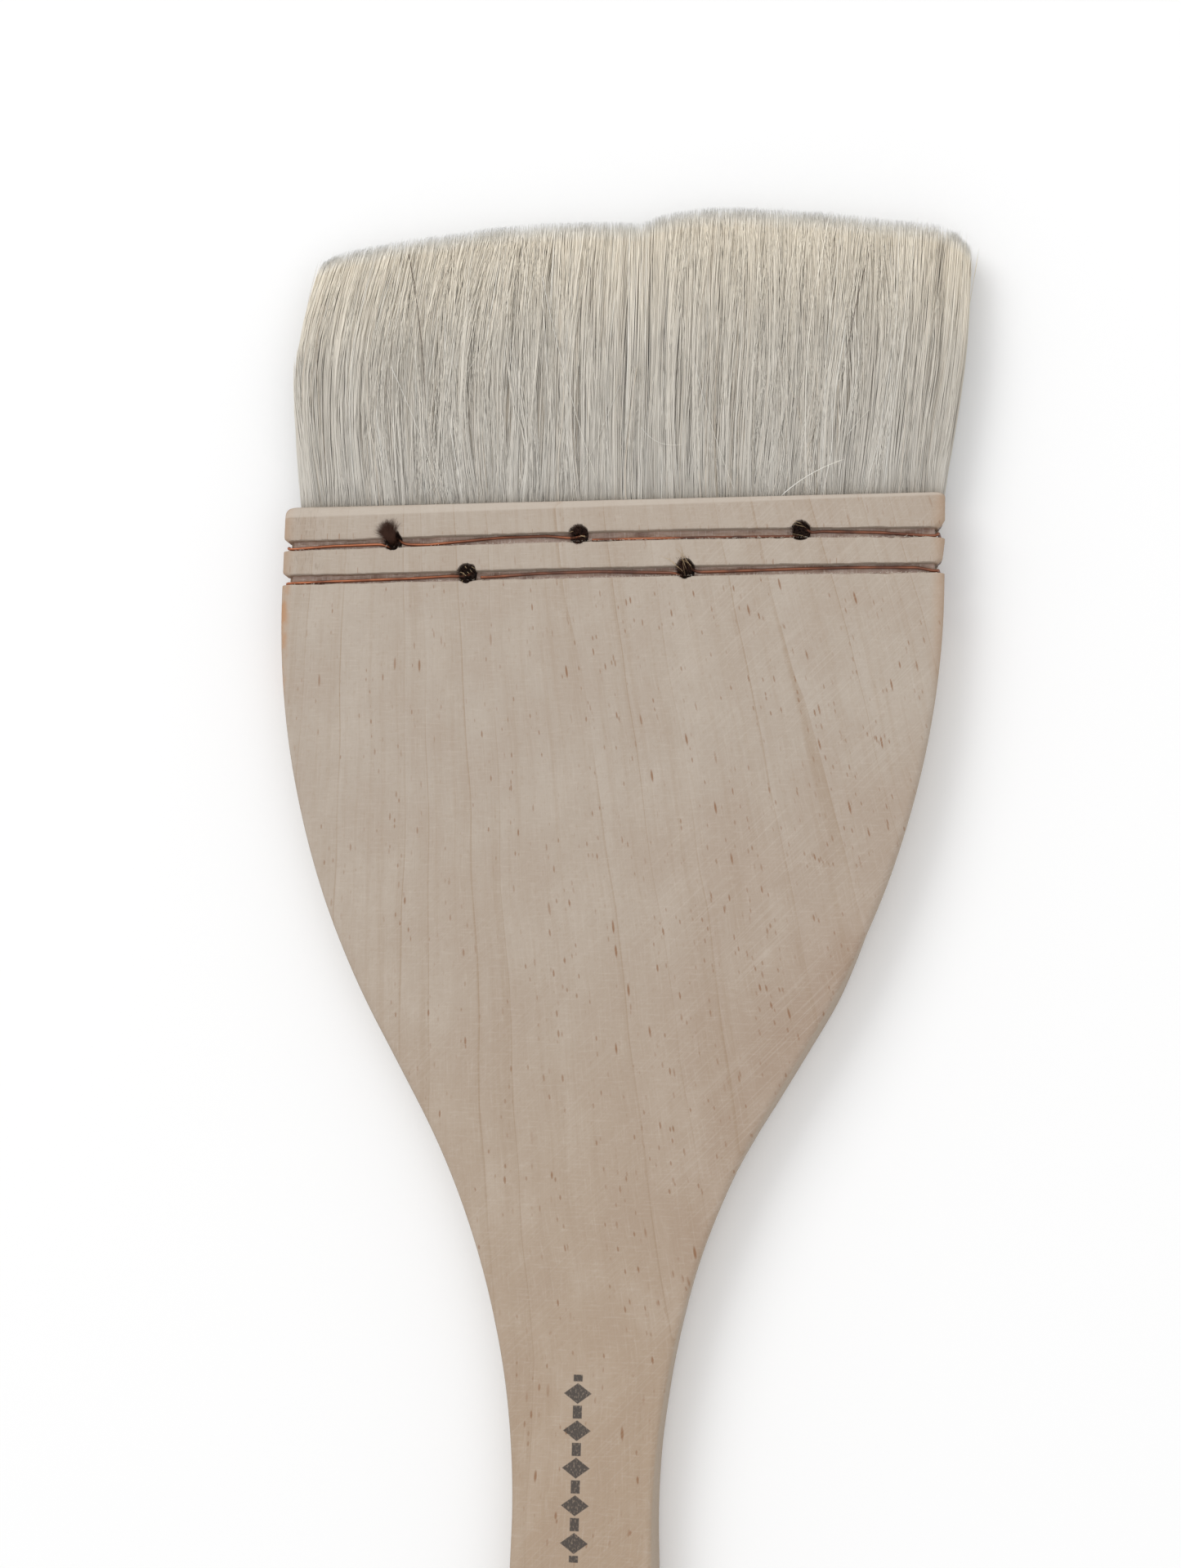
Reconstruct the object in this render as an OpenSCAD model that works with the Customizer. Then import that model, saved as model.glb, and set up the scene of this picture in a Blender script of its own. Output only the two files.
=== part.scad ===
// Flat wash brush: a wooden paddle handle, a band of goat hair in a slot in its head, and two
// copper wires stitched through the head. It lies on its back: +Z is out of the front face,
// +Y points to the hair tips, and the origin is on the back face, on the paddle's centre line.

/* [Paddle] */
// Width of the head, across the hair
head_w = 76; // [60:0.2:110]
// Thickness of the plank
plank_t = 6; // [5:0.5:9]
// Distance from the origin to the mouth, the head's top edge
mouth_y = 40; // [30:1:60]
// Length of the handle from the mouth to its far end
handle_len = 205; // [170:5:260]
// Length of the head's straight sides
side_len = 10; // [8:1:14]
// Radius of the rounded shoulders
shoulder_r = 99.5; // [60:0.5:120]
// Slope of the flanks against the centre line, in degrees
flank_angle = 30; // [24:1:36]
// Radius of the hollow neck
neck_r = 90; // [50:1:110]
// Width of the grip where the neck ends
grip_w = 15.4; // [12:0.2:24]
// Width of the grip at its far end
grip_end_w = 18; // [14:0.5:28]

/* [Hanging hole] */
// Diameter of the hanging hole
hang_d = 5; // [3:0.5:8]
// Distance from the handle's far end to the hole's centre
hang_inset = 10; // [7:0.5:20]

/* [Hair slot] */
// Thickness of the slot, and of the hair roots in it
slot_t = 2.6; // [1.6:0.1:3.4]
// Depth of the slot below the mouth
slot_depth = 15; // [13:0.5:22]
// Depth to which the hair roots reach
root_depth = 13.5; // [11.5:0.5:20]
// Resin between the hair roots and the left side
left_fill = 2.2; // [1.6:0.1:4]
// Resin between the hair roots and the right side
right_fill = 1.6; // [1.5:0.1:4]
// How far the resin stays below the mouth
resin_sink = 0.4; // [0.2:0.1:2]

/* [Hair] */
// Distance from the head's left side to the hair, at the mouth
left_hair_in = 1.6; // [0.2:0.1:4]
// Distance from the head's right side to the hair, at the mouth
right_hair_in = 0.4; // [0.2:0.1:4]
// Free length of the hair at its left corner
left_len = 30.2; // [20:0.2:45]
// Free length of the hair where the two bundles meet
middle_len = 33.3; // [22:0.2:48]
// Free length of the hair at its right corner
right_len = 30.2; // [20:0.2:45]
// Rise of the left bundle's tip line above a straight one
left_crown = 1.4; // [0:0.1:4]
// Rise of the right bundle's tip line above a straight one
right_crown = 2.6; // [0:0.1:4]
// How far the hair's left side swells outwards
left_swell = 2; // [0:0.1:3]
// How far the hair's right side swells outwards
right_swell = 0.9; // [0:0.1:3]
// How far the tips lean to the right on the left side
left_lean = 1.4; // [0:0.1:5]
// How far the tips lean to the right on the right side
right_lean = 2.8; // [0:0.1:5]
// Place of the parting between the bundles, right of the centre line
parting_x = 3; // [-10:0.5:10]
// Gap between the two bundles
parting_gap = 0.1; // [0.05:0.05:0.5]
// How far the hair's fullest place stays inside the plank's faces
belly_inset = 0.3; // [0.2:0.1:1]
// Thickness of the hair at its tips
tip_t = 2; // [1:0.1:3]

/* [Grooves and stitch holes] */
// Distance from the mouth to the middle of the upper groove
upper_groove_d = 4.6; // [3.6:0.1:6]
// Distance between the middles of the two grooves
groove_pitch = 4.05; // [3.2:0.05:6]
// Width of a groove beyond two wires side by side
groove_spare = 0.2; // [0.15:0.05:0.6]
// Depth of a groove
groove_depth = 1; // [0.8:0.05:1.4]
// Depth of the notches in the head's sides
notch_depth = 1.1; // [0.7:0.05:1.4]
// How much wider a notch is at its mouth, upwards
notch_flare = 0.6; // [0:0.1:1.2]
// Distance from the head's left side to the upper row's left hole
upper_left_hole_in = 13; // [8:0.5:16]
// Place of the upper row's middle hole, right of the centre line
upper_middle_hole_x = -3.3; // [-6:0.1:6]
// Distance from the head's right side to the upper row's right hole
upper_right_hole_in = 16; // [8:0.5:18]
// Distance from the head's left side to the lower row's left hole
lower_left_hole_in = 21.9; // [16:0.1:26]
// Distance from the head's right side to the lower row's right hole
lower_right_hole_in = 29; // [16:0.5:30]
// Diameter of a stitch hole
stitch_hole_d = 2.1; // [1.75:0.05:2.6]
// How far the stitch holes stand above the middle of their groove
stitch_rise = 0.25; // [0:0.05:0.3]

/* [Binding wire] */
// Diameter of the copper wire
wire_d = 0.45; // [0.3:0.01:0.55]
// Distance from a stitch hole's edge to the wire's blunt start
wire_start_step = 0.25; // [0.1:0.05:2]
// Thickness of the glue film on a groove's floor
glue_t = 0.15; // [0.05:0.01:0.2]
// Clearance round the wire in the tufts and notches
wire_clear = 0.05; // [0.03:0.01:0.1]

/* [Hidden] */
$fn = 96;

// Cuts reach past the wood by this much
over = 1;
// Stretches of the outline reach into their neighbours by this much
lap = 5;
half_w = head_w / 2;
half_grip = grip_w / 2;

// Outline of the paddle, in distances below the mouth and half widths. The two arcs shrink
// together where the head is too narrow for both.
arc_rise = 1 - cos(flank_angle);
arc_share = min(1, 0.95 * (half_w - half_grip) / ((shoulder_r + neck_r) * arc_rise));
shoulder = shoulder_r * arc_share;
neck = neck_r * arc_share;
flank_drop = half_w - half_grip - (shoulder + neck) * arc_rise;
flank_top_d = side_len + shoulder * sin(flank_angle);
flank_top_x = half_w - shoulder * arc_rise;
flank_end_d = flank_top_d + flank_drop / tan(flank_angle);
flank_end_x = flank_top_x - flank_drop;
neck_end_d = flank_end_d + neck * sin(flank_angle);
end_r = grip_end_w / 2;

// Stitch holes, as places across the head
upper_holes_x = [upper_left_hole_in - half_w, upper_middle_hole_x, half_w - upper_right_hole_in];
lower_holes_x = [lower_left_hole_in - half_w, half_w - lower_right_hole_in];
lower_groove_d = upper_groove_d + groove_pitch;
stitch_r = stitch_hole_d / 2;
wire_r = wire_d / 2;
// A groove takes the wire's two passes with the same gap at its walls and between them
groove_w = 2 * wire_d + groove_spare;
pass_gap = wire_d + groove_spare / 3;
// In a stitch hole the two passes stand two wires apart along the groove, or as far as the
// hole's wall lets the lower pass go
stitch_reach = stitch_r - wire_r - wire_clear;
stitch_gap = 2 * min(wire_d, sqrt(pow(stitch_reach, 2) - pow(stitch_rise + pass_gap / 2, 2)));
mid_z = plank_t / 2;
// Middle of the wire in a groove, as a height above the plank's middle plane
wire_z = mid_z - groove_depth + glue_t + wire_r;
// Middle of the wire in a side notch
wire_edge_x = half_w - notch_depth + wire_r + wire_clear;

function from_mouth(d) = mouth_y - d;

// ---------- handle ----------

module mirrored_x() {
    children();
    mirror([1, 0]) children();
}

// Corners on both sides of the centre line, from half widths and distances below the mouth
function both_sides(corners) = concat([for (c = corners) [c[0], -c[1]]],
    [for (i = [len(corners) - 1:-1:0]) [-corners[i][0], -corners[i][1]]]);

// The plank's stretches, with the mouth at y = 0. They lap into each other inside the outline.
module plank() {
    linear_extrude(plank_t) translate([-half_w, -side_len]) square([head_w, side_len]);
    linear_extrude(plank_t) intersection() {
        shoulder_disc(1);
        shoulder_disc(-1);
        translate([-half_w, -flank_top_d]) square([head_w, flank_top_d - side_len + lap]);
    }
    linear_extrude(plank_t) polygon(both_sides([[flank_end_x, flank_top_d - lap],
        [flank_top_x, flank_top_d], [flank_end_x, flank_end_d], [half_grip, flank_end_d + lap]]));
    linear_extrude(plank_t) difference() {
        translate([-flank_end_x, -neck_end_d])
            square([2 * flank_end_x, neck_end_d - flank_end_d]);
        neck_disc(1);
        neck_disc(-1);
    }
    linear_extrude(plank_t) polygon(both_sides([[half_grip / 2, neck_end_d - lap],
        [half_grip, neck_end_d], [end_r, handle_len - 2 * end_r], [end_r, handle_len - end_r]]));
    translate([0, end_r - handle_len]) cylinder(h = plank_t, r = end_r);
}

module shoulder_disc(side) {
    translate([side * (half_w - shoulder), -side_len]) circle(r = shoulder, $fn = 180);
}

module neck_disc(side) {
    translate([side * (half_grip + neck), -neck_end_d]) circle(r = neck, $fn = 180);
}

// Groove cuts on both faces, and its two side notches
module groove_cut(d) {
    for (z = [-over, plank_t - groove_depth])
        translate([-half_w - over, from_mouth(d) - groove_w / 2, z])
            cube([head_w + 2 * over, groove_w, groove_depth + over]);
    side_notches(d);
}

module side_notches(d) {
    translate([0, from_mouth(d), -over]) linear_extrude(plank_t + 2 * over) mirrored_x()
        polygon([[half_w + over, groove_w / 2 + notch_flare * (1 + over / notch_depth)],
            [half_w - notch_depth, groove_w / 2], [half_w - notch_depth, -groove_w / 2],
            [half_w + over, -groove_w / 2]]);
}

module stitch_holes(places, d) {
    for (x = places) translate([x, from_mouth(d) + stitch_rise, -over])
        cylinder(h = plank_t + 2 * over, r = stitch_r);
}

module all_stitch_holes() {
    stitch_holes(upper_holes_x, upper_groove_d);
    stitch_holes(lower_holes_x, lower_groove_d);
}

module handle() {
    color([0.78, 0.69, 0.58]) difference() {
        translate([0, mouth_y, 0]) plank();
        translate([-half_w - over, from_mouth(slot_depth), mid_z - slot_t / 2])
            cube([head_w + 2 * over, slot_depth + over, slot_t]);
        groove_cut(upper_groove_d);
        groove_cut(lower_groove_d);
        all_stitch_holes();
        translate([0, from_mouth(handle_len - hang_inset), -over])
            cylinder(h = plank_t + 2 * over, d = hang_d);
    }
}

// ---------- hair ----------

outline_steps = 10;
root_left_x = left_fill - half_w;
root_right_x = half_w - right_fill;

// The hair's two sides, from the mouth (u = 0) to the tips (u = 1)
function left_side(u) = [
    left_hair_in - half_w + left_lean * u - left_swell * sin(180 * u), left_len * u
];
function right_side(u) = [
    half_w - right_hair_in + right_lean * u + right_swell * sin(180 * u), right_len * u
];
// A tip line from one corner to the other, raised by its crown
function tip_line(from, to, crown, u) = from + (to - from) * u + [0, 4 * crown * u * (1 - u)];

steps = [for (i = [0:outline_steps]) i / outline_steps];
left_parting = [parting_x - parting_gap / 2, middle_len];
right_parting = [parting_x + parting_gap / 2, middle_len];

module left_hair_outline() {
    polygon(concat([for (u = steps) left_side(u)],
        [for (u = steps) if (u > 0) tip_line(left_side(1), left_parting, left_crown, u)],
        [[left_parting[0], 0]]));
}

module right_hair_outline() {
    polygon(concat([for (u = steps) right_side(u)],
        [for (u = steps) if (u > 0) tip_line(right_side(1), right_parting, right_crown, u)],
        [[right_parting[0], 0]]));
}

// Half thickness of the hair: full at the belly, thin at the tips
hair_reach = max(left_len, middle_len, right_len) + max(left_crown, right_crown);
belly = mid_z - belly_inset - max(slot_t, tip_t) / 2;
function hair_half_t(u) =
    slot_t / 2 * (1 - u) + tip_t / 2 * u + belly * pow(sin(180 * pow(u, 0.8)), 0.8);

module hair_profile() {
    polygon(concat([for (u = steps) [hair_reach * u, hair_half_t(u)]],
        [for (i = [outline_steps:-1:0]) [hair_reach * steps[i], -hair_half_t(steps[i])]]));
}

// Free hair: an outline seen from the front, cut to the profile seen from the side
module free_hair() {
    translate([0, mouth_y, mid_z]) intersection() {
        translate([0, 0, -plank_t]) linear_extrude(2 * plank_t) children();
        translate([-head_w, 0, 0]) rotate([90, 0, 90]) linear_extrude(2 * head_w) hair_profile();
    }
}

module hair_root(x_from, x_to) {
    difference() {
        translate([x_from, from_mouth(root_depth), mid_z - slot_t / 2])
            cube([x_to - x_from, root_depth, slot_t]);
        all_stitch_holes();
    }
}

module hair_left_bundle() {
    color([0.87, 0.85, 0.79]) union() {
        free_hair() left_hair_outline();
        hair_root(root_left_x, left_parting[0]);
    }
}

module hair_right_bundle() {
    color([0.89, 0.86, 0.8]) union() {
        free_hair() right_hair_outline();
        hair_root(right_parting[0], root_right_x);
    }
}

// ---------- resin and glue ----------

module root_resin() {
    color([0.36, 0.2, 0.12]) difference() {
        translate([-half_w, from_mouth(slot_depth), mid_z - slot_t / 2])
            cube([head_w, slot_depth - resin_sink, slot_t]);
        translate([root_left_x, from_mouth(root_depth), 0])
            cube([root_right_x - root_left_x, root_depth + over, plank_t]);
        side_notches(upper_groove_d);
        side_notches(lower_groove_d);
    }
}

module glue_film(d, places, floor_z) {
    color([0.55, 0.4, 0.33]) difference() {
        translate([notch_depth - half_w, from_mouth(d) - groove_w / 2, floor_z])
            cube([head_w - 2 * notch_depth, groove_w, glue_t]);
        stitch_holes(places, d);
    }
}

module upper_glue_film_front() {
    glue_film(upper_groove_d, upper_holes_x, plank_t - groove_depth);
}

module lower_glue_film_front() {
    glue_film(lower_groove_d, lower_holes_x, plank_t - groove_depth);
}

module upper_glue_film_back() {
    glue_film(upper_groove_d, upper_holes_x, groove_depth - glue_t);
}

module lower_glue_film_back() {
    glue_film(lower_groove_d, lower_holes_x, groove_depth - glue_t);
}

// ---------- tufts of cut hair in the stitch holes ----------

module fibre_tuft(x, d) {
    color([0.2, 0.13, 0.09]) difference() {
        translate([x, from_mouth(d) + stitch_rise, groove_depth])
            cylinder(h = plank_t - 2 * groove_depth, r = stitch_r);
        for (side = [-1, 1])
            translate([x + side * stitch_gap / 2, from_mouth(d) + side * pass_gap / 2, 0])
                cylinder(h = plank_t, r = wire_r + wire_clear);
    }
}

module upper_left_fibre_tuft() { fibre_tuft(upper_holes_x[0], upper_groove_d); }
module upper_middle_fibre_tuft() { fibre_tuft(upper_holes_x[1], upper_groove_d); }
module upper_right_fibre_tuft() { fibre_tuft(upper_holes_x[2], upper_groove_d); }
module lower_left_fibre_tuft() { fibre_tuft(lower_holes_x[0], lower_groove_d); }
module lower_right_fibre_tuft() { fibre_tuft(lower_holes_x[1], lower_groove_d); }

// ---------- binding wires ----------

// A wire is sewn in a running stitch. It starts in the front groove just right of the first
// hole in its round, goes right, changes face at each hole, turns round the right edge, comes
// back left in the gaps that it left, turns round the left edge and ends in that first hole.
// Places along the route are [across, along the head, height above the middle plane].
function low_pass(x, side) = [x, -pass_gap / 2, side * wire_z];
function high_pass(x, side) = [x, pass_gap / 2, side * wire_z];

// The outward and last stretches, rightwards, changing face at each hole
function rightward(places, side) = [
    for (i = [0:1:len(places) - 1]) let (face = i % 2 == 0 ? side : -side)
        for (turn = [1, -1]) low_pass(places[i] - stitch_gap / 2, turn * face)
];
function leftward(places, side) = [
    for (i = [0:1:len(places) - 1])
        let (place = places[len(places) - 1 - i], face = i % 2 == 0 ? side : -side)
            for (turn = [1, -1]) high_pass(place + stitch_gap / 2, turn * face)
];
function after(list, first) = [for (i = [first:1:len(list) - 1]) list[i]];
function before(list, last) = [for (i = [0:1:last - 1]) list[i]];
function flip(count) = count % 2 == 0 ? 1 : -1;

function wire_route(places, start) =
    let (
        right_face = flip(len(places) - 1 - start),
        left_face = -right_face * flip(len(places)),
        end_face = -left_face * flip(start)
    )
    concat(
        [low_pass(places[start] + stitch_r + wire_start_step, 1)],
        rightward(after(places, start + 1), 1),
        [low_pass(wire_edge_x, right_face), high_pass(wire_edge_x, -right_face)],
        leftward(places, -right_face),
        [high_pass(-wire_edge_x, left_face), low_pass(-wire_edge_x, -left_face)],
        rightward(before(places, start), -left_face),
        [low_pass(places[start] - stitch_gap / 2, end_face),
            low_pass(places[start] - stitch_gap / 2, -end_face * (wire_z - glue_t) / wire_z)]
    );

wire_sides = 8;

function unit(v) = v / norm(v);
function ways(route) = [for (i = [0:len(route) - 2]) unit(route[i + 1] - route[i])];

// A ring lies in the plane that halves a corner. Its points are the last ring's points, slid
// along the stretch between them, so the tube doesn't twist.
function first_ring(centre, way) =
    let (u = unit(cross(way, [0.3, 0.8, 0.5])), v = cross(way, u))
    [for (i = [0:wire_sides - 1]) let (a = 360 * i / wire_sides)
        centre + wire_r * (cos(a) * u + sin(a) * v)];
function slid_ring(ring, way, centre, normal) =
    [for (p = ring) p + way * ((centre - p) * normal) / (way * normal)];
function rings(route, all_ways, i = 0, done = []) =
    i == len(route) ? done
    : i == 0 ? rings(route, all_ways, 1, [first_ring(route[0], all_ways[0])])
    : let (
        way = all_ways[i - 1],
        normal = i == len(route) - 1 ? way : unit(way + all_ways[i])
    )
    rings(route, all_ways, i + 1, concat(done, [slid_ring(done[i - 1], way, route[i], normal)]));

module tube(route) {
    all_rings = rings(route, ways(route));
    last = len(route) - 1;
    sides = [for (i = [0:last - 1], k = [0:wire_sides - 1])
        let (next = (k + 1) % wire_sides, low = i * wire_sides, high = low + wire_sides)
            each [[low + k, high + k, high + next], [low + k, high + next, low + next]]];
    ends = [[for (k = [0:wire_sides - 1]) k],
        [for (k = [wire_sides - 1:-1:0]) last * wire_sides + k]];
    polyhedron(points = [for (ring = all_rings) each ring], faces = concat(ends, sides));
}

module binding_wire(places, d, start) {
    color([0.72, 0.4, 0.24]) translate([0, from_mouth(d), mid_z])
        tube(wire_route(places, start));
}

module upper_binding_wire() { binding_wire(upper_holes_x, upper_groove_d, 1); }
module lower_binding_wire() { binding_wire(lower_holes_x, lower_groove_d, 0); }

handle();
hair_left_bundle();
hair_right_bundle();
root_resin();
upper_binding_wire();
lower_binding_wire();
upper_glue_film_front();
lower_glue_film_front();
upper_glue_film_back();
lower_glue_film_back();
upper_left_fibre_tuft();
upper_middle_fibre_tuft();
upper_right_fibre_tuft();
lower_left_fibre_tuft();
lower_right_fibre_tuft();
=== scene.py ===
"""Looks of a flat goat-hair wash brush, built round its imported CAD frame.

All sizes in the classes are millimetres. Places down the paddle are distances below the mouth,
the head's top edge that holds the hair. Meshes are scaled to metres when they are placed.
"""

import logging
import math
from dataclasses import dataclass, field
from enum import Enum
from typing import Any, Mapping, Optional, Sequence

import bpy
import numpy as np
from mathutils import Matrix, Vector


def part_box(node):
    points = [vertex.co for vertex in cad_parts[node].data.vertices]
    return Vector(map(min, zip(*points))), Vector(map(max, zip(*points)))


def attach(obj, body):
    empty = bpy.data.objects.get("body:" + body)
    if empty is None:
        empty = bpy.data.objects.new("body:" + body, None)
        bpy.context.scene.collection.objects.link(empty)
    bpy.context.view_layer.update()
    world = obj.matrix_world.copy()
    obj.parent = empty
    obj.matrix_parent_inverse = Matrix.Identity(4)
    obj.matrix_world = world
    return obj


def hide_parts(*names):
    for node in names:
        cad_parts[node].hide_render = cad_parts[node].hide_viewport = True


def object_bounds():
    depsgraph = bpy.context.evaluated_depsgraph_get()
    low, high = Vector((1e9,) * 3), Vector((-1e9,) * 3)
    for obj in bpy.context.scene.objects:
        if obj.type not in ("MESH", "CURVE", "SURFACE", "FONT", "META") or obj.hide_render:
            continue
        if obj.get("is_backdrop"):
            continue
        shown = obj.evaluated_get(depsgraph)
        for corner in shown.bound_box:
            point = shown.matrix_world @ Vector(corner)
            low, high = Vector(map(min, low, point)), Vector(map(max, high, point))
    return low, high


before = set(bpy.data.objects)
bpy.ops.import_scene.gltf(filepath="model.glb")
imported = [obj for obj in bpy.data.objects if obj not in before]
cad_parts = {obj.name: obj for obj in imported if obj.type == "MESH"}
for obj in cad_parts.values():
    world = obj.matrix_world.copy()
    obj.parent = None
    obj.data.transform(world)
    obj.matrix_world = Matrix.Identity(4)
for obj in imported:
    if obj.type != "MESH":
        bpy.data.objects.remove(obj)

LOG = logging.getLogger("wash_brush")
MM = 0.001
BODY = "root"

# How many random numbers a line and a sheet hold, and how far apart a sheet's rows begin
LINE_NUMBERS = 4096
SHEET_NUMBERS = 8192
ROW_STRIDE = 517
# Width of a map's free edge, as a share of the map
MAP_MARGIN = 0.02
# Spread in degrees from which fibres lean outwards all round their hole
ALL_ROUND = 180.0

Colour = tuple[float, float, float]
Points = np.ndarray
Faces = Sequence[np.ndarray]

# Wander of the wires' front stretches: places across, and offsets from the groove's middle
UPPER_WIRE_X = (-37, -32, -26, -21, -12, -7, -2, 22, 24, 31, 36)
UPPER_WIRE_OFF = (-0.32, -0.02, -0.04, -0.32, 0.28, 0.28, -0.3, -0.28, 0.27, 0.07, -0.32)
LOWER_WIRE_X = (-37, -32, -23, -18, -14, -8, -1, 8, 20, 28, 35, 37)
LOWER_WIRE_OFF = (-0.3, -0.16, -0.08, 0.1, -0.16, 0.16, 0.22, -0.1, 0.12, 0.24, 0.14, -0.3)


class Face(Enum):
    """The plank's two faces, as the sign of their height above its middle plane."""

    FRONT = 1
    BACK = -1


def srgb(red: int, green: int, blue: int) -> Colour:
    """A display colour from 0 to 255 as the linear colour that shaders take."""
    return tuple(
        c / 255 / 12.92 if c <= 10 else ((c / 255 + 0.055) / 1.055) ** 2.4
        for c in (red, green, blue)
    )


# ---------------------------------------------------------------- shader maths


class Value:
    """A shader socket that holds one number, with arithmetic that adds Math nodes."""

    def __init__(self, shader: "Shader", socket: bpy.types.NodeSocket) -> None:
        """Wraps a socket.

        Args:
            shader: the shader whose tree the socket is in.
            socket: an output socket with one number.
        """
        self.shader = shader
        self.socket = socket

    def _maths(self, operation: str, *operands: Any) -> "Value":
        """A Math node on these operands."""
        found = self.shader.node(
            "ShaderNodeMath", {"operation": operation}, dict(enumerate(operands))
        )
        return Value(self.shader, found.outputs[0])

    def __add__(self, other: Any) -> "Value":
        """Sum."""
        return self._maths("ADD", self, other)

    __radd__ = __add__

    def __mul__(self, other: Any) -> "Value":
        """Product."""
        return self._maths("MULTIPLY", self, other)

    __rmul__ = __mul__

    def __sub__(self, other: Any) -> "Value":
        """Difference."""
        return self._maths("SUBTRACT", self, other)

    def __rsub__(self, other: Any) -> "Value":
        """Difference from a number on the left."""
        return self._maths("SUBTRACT", other, self)

    def __abs__(self) -> "Value":
        """Size without sign."""
        return self._maths("ABSOLUTE", self)

    def exponential(self) -> "Value":
        """The natural exponential."""
        return self._maths("EXPONENT", self)

    def fraction(self) -> "Value":
        """What is left after the whole number."""
        return self._maths("FRACT", self)

    def most(self, other: Any) -> "Value":
        """The larger of the two."""
        return self._maths("MAXIMUM", self, other)

    def least(self, other: Any) -> "Value":
        """The smaller of the two."""
        return self._maths("MINIMUM", self, other)

    def rise(self, low: float, high: float) -> "Value":
        """A smooth step from 0 at low to 1 at high. With low above high it falls instead."""
        settings = {"interpolation_type": "SMOOTHSTEP", "clamp": True}
        ends = (low, high, 0.0, 1.0) if low < high else (high, low, 1.0, 0.0)
        inputs = {"Value": self, **dict(zip(("From Min", "From Max", "To Min", "To Max"), ends))}
        found = self.shader.node("ShaderNodeMapRange", settings, inputs)
        return Value(self.shader, found.outputs["Result"])

    def near(self, centre: float, half: float, soft: float) -> "Value":
        """1 within half of centre, fading to 0 over soft."""
        return abs(self - centre).rise(half + soft, half)


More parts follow.
